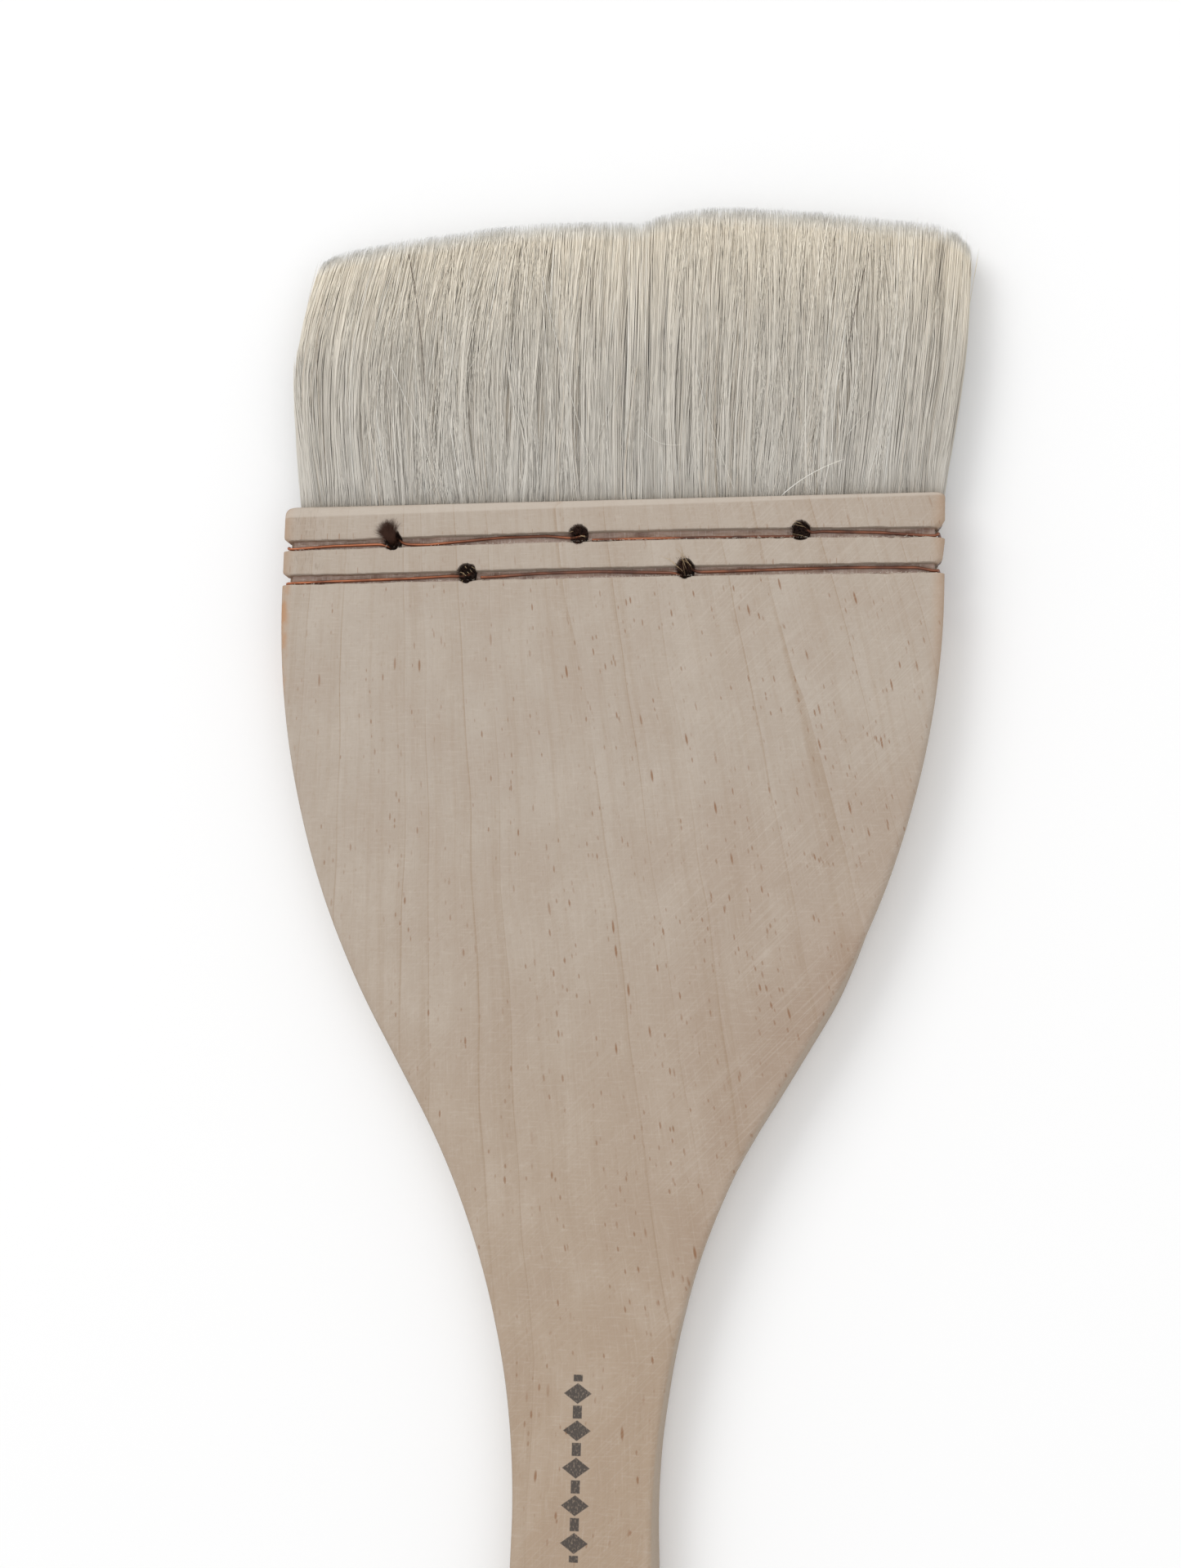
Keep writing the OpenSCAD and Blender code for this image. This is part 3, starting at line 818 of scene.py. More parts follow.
def strands(paths: Points, radii: Points, tones: Points, turns: Points,
            reach: Optional[Points] = None) -> Blank:
    """Many thin three-sided hairs, each drawn to a point at its tip.

    Args:
        paths: for each strand, its points from root to tip.
        radii: for each strand and point, its radius.
        tones: each strand's own number.
        turns: each strand's turn about itself.
        reach: a number for each strand and point, or None for 0 to 1 along each strand.

    Returns:
        A blank whose points carry tone and reach, with a map of one against the other.
    """
    count, length = paths.shape[:2]
    sides = 3
    if reach is None:
        reach = np.broadcast_to(np.linspace(0, 1, length), (count, length))
    way = np.gradient(paths, axis=1)
    way /= np.linalg.norm(way, axis=2, keepdims=True)
    sideways = np.cross(way, [0.0, 0.0, 1.0])
    sideways /= np.maximum(np.linalg.norm(sideways, axis=2, keepdims=True), 1e-9)
    other = np.cross(way, sideways)
    angle = turns[:, None] + np.arange(sides)[None] * (2 * np.pi / sides)
    ring = (np.cos(angle)[:, None, :, None] * sideways[:, :-1, None]
            + np.sin(angle)[:, None, :, None] * other[:, :-1, None])
    body = paths[:, :-1, None] + ring * radii[:, :-1, None, None]
    per = (length - 1) * sides + 1
    points = np.concatenate([body.reshape(count, -1, 3), paths[:, -1:]], axis=1)
    starts = (np.arange(count) * per)[:, None, None]
    quads = (ring_quads(length - 1, sides)[None] + starts).reshape(-1, 4)
    last = (length - 2) * sides
    tip = np.array([[last + k, last + (k + 1) % sides, per - 1] for k in range(sides)])
    root = np.array([[2, 1, 0]])
    tris = (np.concatenate([tip, root])[None] + starts).reshape(-1, 3)
    heights = np.concatenate([np.repeat(reach[:, :-1], sides, axis=1), reach[:, -1:]], axis=1)
    across = np.concatenate([np.tile(np.arange(sides) / sides, length - 1), [0.5]])
    tone = np.repeat(tones, per)
    places = np.stack([MAP_MARGIN + 0.94 * tone + 0.01 * np.tile(across, count),
                       MAP_MARGIN + 0.96 * heights.ravel()], 1)
    return Blank(points.reshape(-1, 3), [quads, tris],
                 {"tone": tone, "reach": heights.ravel()}, places)


# ---------------------------------------------------------------- sizes


@dataclass(frozen=True)
class BrushSizes:
    """Sizes read from the CAD frame, and the few that its boxes don't give."""

    half_w: float
    mouth_y: float
    plank_t: float
    handle_len: float
    upper_groove: float
    lower_groove: float
    slot_t: float
    slot_depth: float
    groove_half: float
    upper_holes: tuple[float, ...]
    lower_holes: tuple[float, ...]
    stitch_r: float
    groove_depth: float = 1.0
    notch_depth: float = 1.1
    stitch_rise: float = 0.25
    wire_r: float = 0.17
    tip_t: float = 2.0
    belly_inset: float = 0.3
    bow_rise: float = 0.36
    bow_x: float = 3.0
    bow_places: tuple[float, ...] = (0.0, 1.5, 4.0, 5.2, 8.0, 9.2, 13.0)
    bow_shares: tuple[float, ...] = (0.0, 0.25, 1.0, 1.0, 0.5, 0.5, 0.0)

    def bow(self, x: Points, d: Points) -> Points:
        """How far the hand-cut groove lines bow towards the mouth at each place."""
        share = np.interp(d, self.bow_places, self.bow_shares)
        off = np.abs(x - self.bow_x) / (self.half_w - self.bow_x)
        return self.bow_rise * share * (1 - np.clip(off, 0, 1) ** 2)

    def along(self, x: Points, d: Points) -> Points:
        """The y of places this far below the mouth, with the bow."""
        return self.mouth_y - d + self.bow(x, d)

    def half_hair(self, u: Points) -> Points:
        """Half thickness of the hair from the mouth (0) to the tips (1), full at its belly."""
        belly = self.mid_z - self.belly_inset - self.slot_t / 2
        u = np.clip(u, 0, 1)
        bulge = np.maximum(np.sin(np.pi * u**0.8), 0) ** 0.8
        return self.slot_t / 2 * (1 - u) + self.tip_t / 2 * u + belly * bulge

    @property
    def grooves(self) -> tuple[float, float]:
        """Both grooves' distances below the mouth."""
        return self.upper_groove, self.lower_groove

    @property
    def mid_z(self) -> float:
        """Height of the plank's middle plane."""
        return self.plank_t / 2

    @property
    def floor_z(self) -> float:
        """Height of a front groove's floor above the middle plane."""
        return self.mid_z - self.groove_depth

    @classmethod
    def from_frame(cls) -> "BrushSizes":
        """Reads the sizes off the CAD nodes' boxes."""
        handle, resin, film = (
            np.array(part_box(n)) / MM for n in ("handle", "root_resin", "upper_glue_film_front")
        )
        wires = [np.array(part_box(f"{row}_binding_wire")) / MM for row in ("upper", "lower")]
        tufts = {
            row: [np.array(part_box(f"{row}_{side}_fibre_tuft")) / MM for side in sides]
            for row, sides in (("upper", ("left", "middle", "right")), ("lower", ("left", "right")))
        }
        mouth = handle[1][1]
        holes = {row: tuple(float(b[:, 0].mean()) for b in boxes) for row, boxes in tufts.items()}
        return cls(
            half_w=float(handle[1][0]),
            mouth_y=float(mouth),
            plank_t=float(handle[1][2]),
            handle_len=float(mouth - handle[0][1]),
            upper_groove=float(mouth - wires[0][:, 1].mean()),
            lower_groove=float(mouth - wires[1][:, 1].mean()),
            slot_t=float(np.ptp(resin[:, 2])),
            slot_depth=float(mouth - resin[0][1]),
            groove_half=float(np.ptp(film[:, 1]) / 2),
            upper_holes=holes["upper"],
            lower_holes=holes["lower"],
            stitch_r=float(np.ptp(tufts["upper"][0][:, 0]) / 2),
        )


# ---------------------------------------------------------------- handle


@dataclass(frozen=True)
class SideCut:
    """How one side of the head is cut by hand.

    Attributes:
        corner_r: radius of the corner at the mouth.
        ramp: length of the slope above each notch.
        share: how deep its notches are, as a share of their full depth.
    """

    corner_r: float
    ramp: float
    share: float


SIDE_CUTS = {-1: SideCut(0.75, 0.35, 0.58), 1: SideCut(0.5, 0.7, 1.0)}


@dataclass
class Paddle:
    """The wooden handle: one plank, lofted from the mouth to the far end."""

    sizes: BrushSizes
    side_len: float = 10.0
    shoulder_r: float = 99.5
    flank_angle: float = math.radians(30)
    neck_r: float = 90.0
    half_grip: float = 7.7
    end_r: float = 9.0
    hang_r: float = 2.5
    hang_inset: float = 10.0
    edge_r: float = 0.75
    worn_places: tuple[float, ...] = (0, 20, 40, 58, 70, 88, 100)
    worn_more: tuple[float, ...] = (0.4, 1.0, 1.5, 0.5, 1.1, 1.3, 0)
    undercut_places: tuple[float, ...] = (0, 44, 56, 68, 78, 90, 104, 118)
    undercut_depths: tuple[float, ...] = (0.9, 0.9, 0.1, 0.2, 0.7, 0.4, 0.3, 0)
    lip_up: float = 0.09
    lip_low: float = 0.12
    lip_worn: float = 0.06
    lip_soft: float = 0.16
    front_bevel: tuple[float, ...] = (1.4, 0.85, 0.45)
    back_bevel: tuple[float, ...] = (0.5, 0.6, 0.5)
    end_round: float = 1.6
    end_drop: float = 1.3
    drill_heights: tuple[float, ...] = (-1, -0.02, 0.12, 0.5)
    drill_flares: tuple[float, ...] = (0.16, 0.14, 0.05, 0)
    drill_sides: int = 40
    sharp_from: float = 38.0
    columns: int = 170
    edge_steps: int = 4
    wall_steps: int = 2

    def outline(self, d: Points) -> tuple[Points, Points]:
        """Half width of the paddle and slope of its outline.

        Args:
            d: distances below the mouth.

        Returns:
            The half width there, and the cosine of the outline's slope.
        """
        half_w, angle = self.sizes.half_w, self.flank_angle
        rise = 1 - math.cos(angle)
        drop = half_w - self.half_grip - (self.shoulder_r + self.neck_r) * rise
        flank_top = self.side_len + self.shoulder_r * math.sin(angle)
        flank_end = flank_top + drop / math.tan(angle)
        neck_end = flank_end + self.neck_r * math.sin(angle)
        taper_end = self.sizes.handle_len - 2 * self.end_r
        centre = self.sizes.handle_len - self.end_r

        def arc(offset: Points, radius: float) -> Points:
            """How far an arc has left its tangent after this offset along it."""
            return radius - np.sqrt(np.maximum(radius**2 - offset**2, 0))

        width = np.select(
            [d < self.side_len, d < flank_top, d < flank_end, d < neck_end, d < centre],
            [
                np.full_like(d, half_w),
                half_w - arc(d - self.side_len, self.shoulder_r),
                half_w - self.shoulder_r * rise - (d - flank_top) * math.tan(angle),
                self.half_grip + arc(neck_end - d, self.neck_r),
                np.interp(d, [neck_end, taper_end], [self.half_grip, self.end_r]),
            ],
            self.end_r - arc(d - centre, self.end_r),
        )
        slope = np.clip(np.gradient(width, d), -3, 3)
        return width, 1 / np.sqrt(1 + slope**2)

    def stations(self) -> Points:
        """Distances below the mouth at which the plank is drawn, close at the cuts."""
        s = self.sizes
        close = [0, 0.03, 0.08, 0.15, 0.25, 0.4, 0.6, 0.85, 1.15, 1.5, 2.0, 2.6, 3.1]
        lip = [-0.5, -0.32, -0.2, -0.12, -0.07, -0.035, 0, 0.035, 0.07, 0.12, 0.2]
        grooves = []
        for place in s.grooves:
            grooves += [place - s.groove_half + step for step in lip]
            grooves += [place - 0.2, place, place + 0.2]
            grooves += [place + s.groove_half - step for step in reversed(lip)]
        paddle = np.arange(s.lower_groove + 1.6, s.handle_len - 2.5, 1.25)
        end = s.handle_len - 2.4 * (1 - np.sin(np.linspace(0, np.pi / 2, 12)))
        return np.unique(np.round(np.concatenate([close, grooves, paddle, end[:-1]]), 4))

    def kerf(self, x: Points, d: Points, face: Face) -> Points:
        """How much of the grooves' depth is cut away at each place, from 0 to 1."""
        s = self.sizes
        seed = 10 if face is Face.FRONT else 40
        cut = np.zeros_like(x * d)
        for number, place in enumerate(s.grooves):
            torn_up = 0.035 * unevenness(x, 0.5, seed + number) + 0.03 * unevenness(x, 3, seed + 2)
            torn_low = 0.08 * unevenness(x, 0.45, seed + 4 + number) * (
                0.5 + 0.5 * unevenness(x, 5, seed + 6)
            ) + 0.04 * unevenness(x, 2.4, seed + 7 + number)
            upper = (d - (place - s.groove_half + torn_up)) / self.lip_up + 0.5
            lower = ((place + s.groove_half + torn_low) - d) / self.lip_low + 0.5
            share = np.clip(np.minimum(upper, lower), 0, 1)
            cut = np.maximum(cut, eased(share))
        return cut

    def height(self, x: Points, d: Points, face: Face) -> Points:
        """Height of a face above the middle plane, with grooves, sanding and soft cut edges."""
        s = self.sizes
        front = face is Face.FRONT
        seed = 60 if front else 80
        rough_floor = 0.05 * unevenness_2d(x, d, 0.7, 0.3, seed)
        cut = self.kerf(x, d, face)
        top = s.mid_z - (s.groove_depth + rough_floor) * cut
        worn = np.zeros_like(top)
        for place in s.grooves:
            off = np.abs(np.abs(d - place) - s.groove_half)
            worn += self.lip_worn * np.exp(-((off / self.lip_soft) ** 2)) * (1 - cut)
        share = np.clip((x + s.half_w) / (2 * s.half_w), 0, 1)
        bevel = np.interp(share, [0, 0.5, 1], self.front_bevel if front else self.back_bevel)
        bevel = bevel * (1 + 0.12 * unevenness(x, 6, seed + 1))
        sanded = np.clip(1 - d / bevel, 0, 1)
        rim = np.clip(1 - d / self.lip_soft, 0, 1)
        top = top - worn - 0.3 * bevel * sanded**1.05 - 0.1 * rim**2
        far = np.clip((d - (s.handle_len - self.end_round)) / self.end_round, 0, 1)
        top = top - self.end_drop * (1 - np.sqrt(np.maximum(1 - far**2, 0)))
        broad = unevenness_2d(x, d, 14, 22, seed + 2)
        small = unevenness_2d(x, d, 3, 9, seed + 3)
        return top + (0.03 * broad + 0.01 * small) * (1 - cut)

    def edge_radius(self, d: Points, side: int, face: Face) -> Points:
        """How far an edge is rounded over. The back's right edge is sanded away down the head."""
        base = self.edge_r * (1 + 0.15 * unevenness(d, 9, 91 + side))
        if side > 0 and face is Face.BACK:
            base = base + np.interp(d, self.worn_places, self.worn_more)
        return base

    def undercut(self, d: Points) -> Points:
        """How far the right wall slants in towards the back."""
        return np.interp(d, self.undercut_places, self.undercut_depths)

    def loft(self) -> Blank:
        """The whole plank without its slot and holes."""
        s = self.sizes
        d = self.stations()
        width, cosine = self.outline(d)
        gap = np.maximum(*(self.kerf(np.zeros_like(d), d, face) for face in Face))
        edges = {}
        for side, cut in SIDE_CUTS.items():
            off = np.clip(cut.corner_r - d, 0, cut.corner_r)
            cut_in = cut.corner_r - np.sqrt(np.maximum(cut.corner_r**2 - off**2, 0))
            bite = np.zeros_like(d)
            for place in s.grooves:
                slope = np.clip(1 - (place - s.groove_half - d) / cut.ramp, 0, 1)
                bite = np.maximum(bite, np.where(d < place, slope * 0.75, 0.0))
            bite = np.maximum(bite * (d < s.lower_groove), gap)
            edges[side] = width - cut_in - s.notch_depth * cut.share * bite
        rings = [self.half_ring(d, edges, cosine, face) for face in Face]
        front, back = rings[0], rings[1][:, ::-1]
        walls = []
        for start, end in ((front[:, -1], back[:, 0]), (back[:, -1], front[:, 0])):
            shares = np.arange(1, self.wall_steps + 1) / (self.wall_steps + 1)
            walls.append(start[:, None] * (1 - shares[None, :, None])
                         + end[:, None] * shares[None, :, None])
        ring = np.concatenate([front, walls[0], back, walls[1]], axis=1)
        return solid_of_rings(ring, inside_out=True)

    def half_ring(
        self, d: Points, edges: Mapping[int, Points], cosine: Points, face: Face
    ) -> Points:
        """One face's points at each station, from left to right, with its rounded edges."""
        s = self.sizes
        if face is Face.BACK:
            edges = {-1: edges[-1], 1: edges[1] - self.undercut(d)}
        radius = {side: np.minimum(self.edge_radius(d, side, face), edges[side] * 0.6 + 0.02)
                  for side in (-1, 1)}
        turn = np.linspace(np.pi / 2, 0, self.edge_steps, endpoint=False)
        flat = np.linspace(0, 1, self.columns)
        reach = {side: np.minimum(radius[side] / cosine, edges[side] * 0.8) for side in (-1, 1)}
        inner_left = reach[-1] - edges[-1]
        inner_right = edges[1] - reach[1]
        x = np.concatenate(
            [
                reach[-1][:, None] * (1 - np.sin(turn)) - edges[-1][:, None],
                inner_left[:, None] * (1 - flat) + inner_right[:, None] * flat,
                edges[1][:, None] - reach[1][:, None] * (1 - np.sin(turn[::-1])),
            ],
            axis=1,
        )
        drop = np.concatenate(
            [
                radius[-1][:, None] * (1 - np.cos(turn)),
                np.zeros((len(d), self.columns)),
                radius[1][:, None] * (1 - np.cos(turn[::-1])),
            ],
            axis=1,
        )
        depth = np.broadcast_to(d[:, None], x.shape)
        z = self.height(x, depth, face) - drop
        return np.stack([x, s.along(x, depth), s.mid_z + face.value * z], axis=2)

    def cutters(self) -> list[Blank]:
        """All the holes, with slightly ragged walls, and the slot."""
        s = self.sizes
        reach = s.half_w + 2
        bottom, open_end = s.mouth_y - s.slot_depth, s.mouth_y + 1
        plan = ((-reach, bottom), (reach, bottom), (reach, open_end), (-reach, open_end))
        levels = (s.mid_z - s.slot_t / 2, s.mid_z + s.slot_t / 2)
        corners = [(x, y, z) for z in levels for x, y in plan]
        box = Blank(np.array(corners, float), [np.array(
            [[3, 2, 1, 0], [4, 5, 6, 7], [0, 1, 5, 4], [1, 2, 6, 5], [2, 3, 7, 6], [3, 0, 4, 7]])])
        rows = zip((s.upper_holes, s.lower_holes), s.grooves)
        centres = [(x, place - s.stitch_rise) for row, place in rows for x in row]
        holes = [
            self.drill(x, d, s.stitch_r, 0.09, 100 + number)
            for number, (x, d) in enumerate(centres)
        ]
        hang = self.drill(0, s.handle_len - self.hang_inset, self.hang_r, 0.0, 120)
        return [joined([*holes, hang]), box]

    def drill(self, x: float, d: float, radius: float, ragged: float, seed: int) -> Blank:
        """A drill's path through the plank, with a soft flare where it meets each face."""
        s = self.sizes
        full = 2 * np.pi
        turn = np.arange(self.drill_sides) * (full / self.drill_sides)
        low = np.array(self.drill_heights)
        heights = np.concatenate([low, s.plank_t - low[::-1]])
        flare = np.concatenate([self.drill_flares, self.drill_flares[::-1]])
        ahead, behind = unevenness(turn * 4, 1, seed), unevenness((turn - full) * 4, 1, seed)
        uneven = ahead * (1 - turn / full) + behind * (turn / full)
        wall = radius + flare[:, None] + ragged * uneven[None]
        points = np.stack(
            [
                x + wall * np.cos(turn),
                s.along(x, d) + wall * np.sin(turn),
                np.broadcast_to(heights[:, None], wall.shape),
            ],
            axis=2,
        )
        return solid_of_rings(points)

    def build(self, wood: bpy.types.Material) -> bpy.types.Object:
        """Lofts the plank, cuts it and dresses it."""
        plank = self.loft().place("paddle_handle", wood, "handle_wood", ["handle"])
        for cutter_blank in self.cutters():
            cutter = cutter_blank.place("cutter", wood, "handle_wood")
            cut = plank.modifiers.new("cut", "BOOLEAN")
            cut.operation, cut.solver, cut.object = "DIFFERENCE", "EXACT", cutter
            evaluated = plank.evaluated_get(bpy.context.evaluated_depsgraph_get())
            mesh = bpy.data.meshes.new_from_object(evaluated)
            plank.modifiers.remove(cut)
            old, plank.data = plank.data, mesh
            bpy.data.meshes.remove(old)
            bpy.data.objects.remove(cutter)
        plank.data.name = plank.name
        plank.data.set_sharp_from_angle(angle=math.radians(self.sharp_from))
        dress(plank, wood)
        return plank


# ---------------------------------------------------------------- hair


@dataclass(frozen=True)
class HairLayer:
    """How one layer of hairs fills a bundle.

    Attributes:
        name: what the layer is called.
        number: sets its random numbers apart.
        count: hairs on each face.
        radius: a hair's radius.
        top: how near the bundle's face its outermost hairs lie.
        range: how much of the half thickness it fills.
        low_share: the share of locks that end below the tips.
        stray_share: the share of hairs that cross the others.
    """

    name: str
    number: int
    count: int
    radius: float
    top: float
    range: float
    low_share: float
    stray_share: float


HAIR_LAYERS = (
    HairLayer("body_hairs", 0, 3200, 0.055, 0.98, 0.95, 0.2, 0.01),
    HairLayer("top_hairs", 1, 3300, 0.038, 1.04, 0.35, 0.42, 0.05),
)


@dataclass
class HairBundle:
    """One of the two bundles of goat hair, as a soft core under many single hairs.

    Attributes:
        name: what its pieces' names begin with.
        side: -1 for the left bundle, 1 for the right.
        mouth_in: from the head's side to the hair at the mouth.
        swell: how far the outer side bulges.
        lean: how far the tips lean to the right.
        lean_power: how late on the way to the tips they lean.
        tip_places: places from the parting (0) to the outer corner (1).
        tip_lens: the free length of the hair at each.
        locks: how many locks the hair gathers in.
        seed: sets its random numbers apart.
        middle_len: free length of the hair in the middle.
        profile_more: how much longer than that the hair's profile is.
        parting_x: where the two bundles meet.
        strand_steps: points along each hair.
        side_hairs: one hair in this many edges the outer side.
        lock_draw: how far the hairs of a low lock are drawn together.
        plain_draw: how far those of the others are.
        lock_sway: how far a lock sways.
        own_lean: how far a hair leans.
        stray_lean: how much further the stray ones lean.
        lock_wave: size of a lock's waves.
        own_wave: size of a hair's waves.
    """

    name: str
    sizes: BrushSizes
    side: int
    mouth_in: float
    swell: float
    lean: float
    lean_power: float
    tip_places: tuple[float, ...]
    tip_lens: tuple[float, ...]
    locks: int
    seed: int
    middle_len: float = 33.3
    profile_more: float = 2.6
    parting_x: float = 3.0
    strand_steps: int = 10
    side_hairs: int = 12
    lock_draw: float = 0.85
    plain_draw: float = 0.22
    lock_sway: float = 0.8
    own_lean: float = 1.15
    stray_lean: float = 3.6
    lock_wave: float = 0.34
    own_wave: float = 0.17

    @property
    def reach(self) -> float:
        """Length of the hair's profile, seen from the side."""
        return self.middle_len + self.profile_more

    def outer_x(self, u: Points) -> Points:
        """Place of the bundle's outer side from the mouth (0) to the tips (1)."""
        edge = self.sizes.half_w - self.mouth_in
        u = np.clip(u, 0, 1)
        return self.side * edge + self.lean * u**self.lean_power + (
            self.side * self.swell * np.sin(np.pi * u**1.15)
        )

    def length_at(self, across: Points) -> Points:
        """Free length of the hair from the parting (0) to the outer corner (1)."""
        return np.interp(across, self.tip_places, self.tip_lens)

    def place_at(self, across: Points, depth: Points, u: Points, length: Points) -> Points:
        """A place in the bundle.

        Args:
            across: from the parting (0) to the outer side (1).
            depth: from the back (-1) to the front (1).
            u: from the mouth (0) to the tip line (1).
            length: the free length there.

        Returns:
            The points, in the row frame.
        """
        s = self.sizes
        outer = self.outer_x(u)
        inner = self.parting_x + self.side * 0.05
        round_in = 1 - 0.35 * np.clip(np.abs(across) - 0.93, 0, 1) / 0.07
        x = inner + (outer - inner) * across
        y = s.mouth_y + u * length
        z = s.mid_z + depth * s.half_hair(u * length / self.reach) * np.clip(round_in, 0.6, 1)
        return np.stack(np.broadcast_arrays(x, y, z), axis=-1)

    def core(self, hair: bpy.types.Material) -> bpy.types.Object:
        """The mass of hair behind the single hairs: a soft closed pad, inside them all round, given
        a darker tan tone as painted shade.
        """
        rows, columns = 26, 60
        u = np.linspace(-0.04, 0.8, rows)[:, None]
        across = np.linspace(0.004, 0.975, columns)[None]
        length = self.length_at(across)
        rim = np.sqrt(np.clip(1 - ((across - 0.49) / 0.495) ** 8, 0, 1))
        rim = rim * (0.9 - 0.45 * np.clip(u, 0, 1) ** 2)
        fine = 1 - 0.05 * np.abs(unevenness(across * 40, 0.8, self.seed + 5))
        ragged = 1 - 0.03 * np.abs(unevenness(across * 40, 0.7, self.seed + 6)) * (u > 0.5)
        front, back = (
            self.place_at(across, side * rim * fine, u * ragged, length) for side in (1, -1)
        )
        blank = pad(front, back, -self.side)
        x, y = blank.points[:, 0], blank.points[:, 1]
        reach = np.repeat(np.clip(u[:, 0], 0, 1), 2 * columns)
        # Painted shade: the core's tone is kept low, towards tan, so that it reads as the shaded
        # depth between the hairs
        tone = 0.24 + 0.12 * unevenness_2d(x, y * 0.1, 0.35, 3, self.seed)
        blank.numbers = {"tone": tone, "reach": reach}
        blank.map_places = MAP_MARGIN + np.stack([0.95 * tone, 0.96 * reach], 1)
        return blank.place(f"{self.name}_core", hair, "goat_hair", [f"{self.name}_bundle"])

    def sheet_of_hairs(
        self, face: Face, layer: HairLayer, hair: bpy.types.Material
    ) -> bpy.types.Object:
        """Single hairs in front of or behind the core, gathered in locks.

        Most locks reach the tip line. The others end lower down, drawn together to a point.

        Args:
            face: the side that the hairs are on.
            layer: how they fill the bundle's thickness.
            hair: their finish.

        Returns:
            The new piece.
        """
        rng = np.random.default_rng(self.seed + 100 * layer.number + (face is Face.BACK) * 1000)
        n = layer.count
        across = rng.uniform(0, 1, n)
        edging = n // self.side_hairs
        across[:edging] = 1 - rng.uniform(0, 0.045, edging)
        depth = face.value * (layer.top - layer.range * rng.uniform(0, 1, n) ** 1.5)
        centres = np.sort(rng.uniform(0, 1, self.locks))
        low = rng.uniform(0, 1, self.locks) < layer.low_share
        end_of = np.where(low, rng.uniform(0.4, 0.9, self.locks), 1.0)
        level = rng.uniform(0.2, 1.0, self.locks)
        lock = np.argmin(
            np.abs(across[:, None] - centres) + 0.03 * np.abs(np.abs(depth)[:, None] - level)
            + rng.normal(0, 0.006, (n, self.locks)), axis=1)
        free = np.arange(n) < edging
        low_lock = low[lock] & ~free & (np.abs(depth) > 0.5)
        end = np.where(low_lock, end_of[lock] * rng.uniform(0.9, 1.05, n), 1.0)[:, None]
        run = 1 - (1 - np.linspace(0, 1, self.strand_steps)[None]) ** 1.3
        length = self.length_at(across)[:, None]
        short = rng.exponential(0.22, (n, 1)) + 0.1 * np.abs(
            unevenness(across * 38, 0.7, self.seed + 9))[:, None]
        u = run * end * (1 - short / length) - 0.03 * (1 - run)
        paths = self.place_at(across[:, None], depth[:, None], u, length)
        centre = self.place_at(centres[lock][:, None], depth[:, None], u, length)
        drawn = np.where(low_lock, self.lock_draw, 0.0)[:, None] * run**1.3
        plain = np.where(low_lock | free, 0, self.plain_draw)[:, None]
        paths[..., 0] += (centre[..., 0] - paths[..., 0]) * (drawn + plain * np.sin(np.pi * run))
        inward = np.clip(1.25 - 2 * np.abs(across[:, None] - 0.5), 0.12, 1)
        sideways, upwards = self.wander(rng, lock, run, layer.stray_share)
        paths[..., 0] += inward * sideways
        paths[..., 2] += upwards
        tone = 0.5 + rng.normal(0, 0.05, self.locks)[lock] + rng.normal(0, 0.15, n)
        tone += 0.08 * unevenness(across * 38, 4.5, self.seed + 11)
        radii = layer.radius * rng.lognormal(0, 0.28, (n, 1)) * (1 - 0.3 * run**3)
        blank = strands(paths, radii, np.clip(tone, 0.07, 1), rng.uniform(0, 2 * np.pi, n),
                        np.clip(u, 0, 1))
        name = f"{self.name}_{face.name.lower()}_{layer.name}"
        return blank.place(name, hair, "goat_hair")

    def wander(
        self, rng: np.random.Generator, lock: Points, run: Points, stray_share: float
    ) -> tuple[Points, Points]:
        """How far the hairs sway with their locks, lean and wave.

        Args:
            rng: where the random numbers come from.
            lock: each hair's lock.
            run: from a hair's root (0) to its tip (1).
            stray_share: the share of hairs that cross the others.

        Returns:
            The way across and the way up, for each hair and place along it.
        """
        one_each, middle = (len(lock), 1), np.sin(np.pi * run)
        sway = rng.normal(0, self.lock_sway, self.locks)[lock][:, None] * middle
        lean = rng.normal(0, self.own_lean, one_each)
        more = rng.normal(0, self.stray_lean, one_each)
        lean = lean + more * (rng.uniform(0, 1, one_each) < stray_share)
        wave = rng.normal(0, self.lock_wave, self.locks)[lock][:, None]
        phase = rng.uniform(0, 2 * np.pi, self.locks)[lock][:, None]
        own_wave = rng.normal(0, self.own_wave, one_each)
        own_phase = rng.uniform(0, 2 * np.pi, one_each)
        sideways = (
            sway
            + lean * (run - 0.35) * np.clip(run * 4, 0, 1)
            + middle * wave * np.sin(5 * run + phase)
            + run * own_wave * np.sin(10 * run + own_phase)
        )
        return sideways, run * own_wave * np.cos(8 * run + own_phase) * 0.6

    def build(self, hair: bpy.types.Material) -> None:
        """Makes the core and the hairs on both faces."""
        self.core(hair)
        for face in Face:
            for layer in HAIR_LAYERS:
                self.sheet_of_hairs(face, layer, hair)


@dataclass(frozen=True)
class Stray:
    """A single loose hair, from start to end as (across, above the mouth).

    Attributes:
        start: where it begins.
        end: where it ends.
        sag: how far its middle stands off the straight line, to the left of its way.
        tone: its tone.
        radius: its radius.
        lift: its height above the hair's face.
    """

    start: tuple[float, float]
    end: tuple[float, float]
    sag: float
    tone: float
    radius: float
    lift: float = 0.1


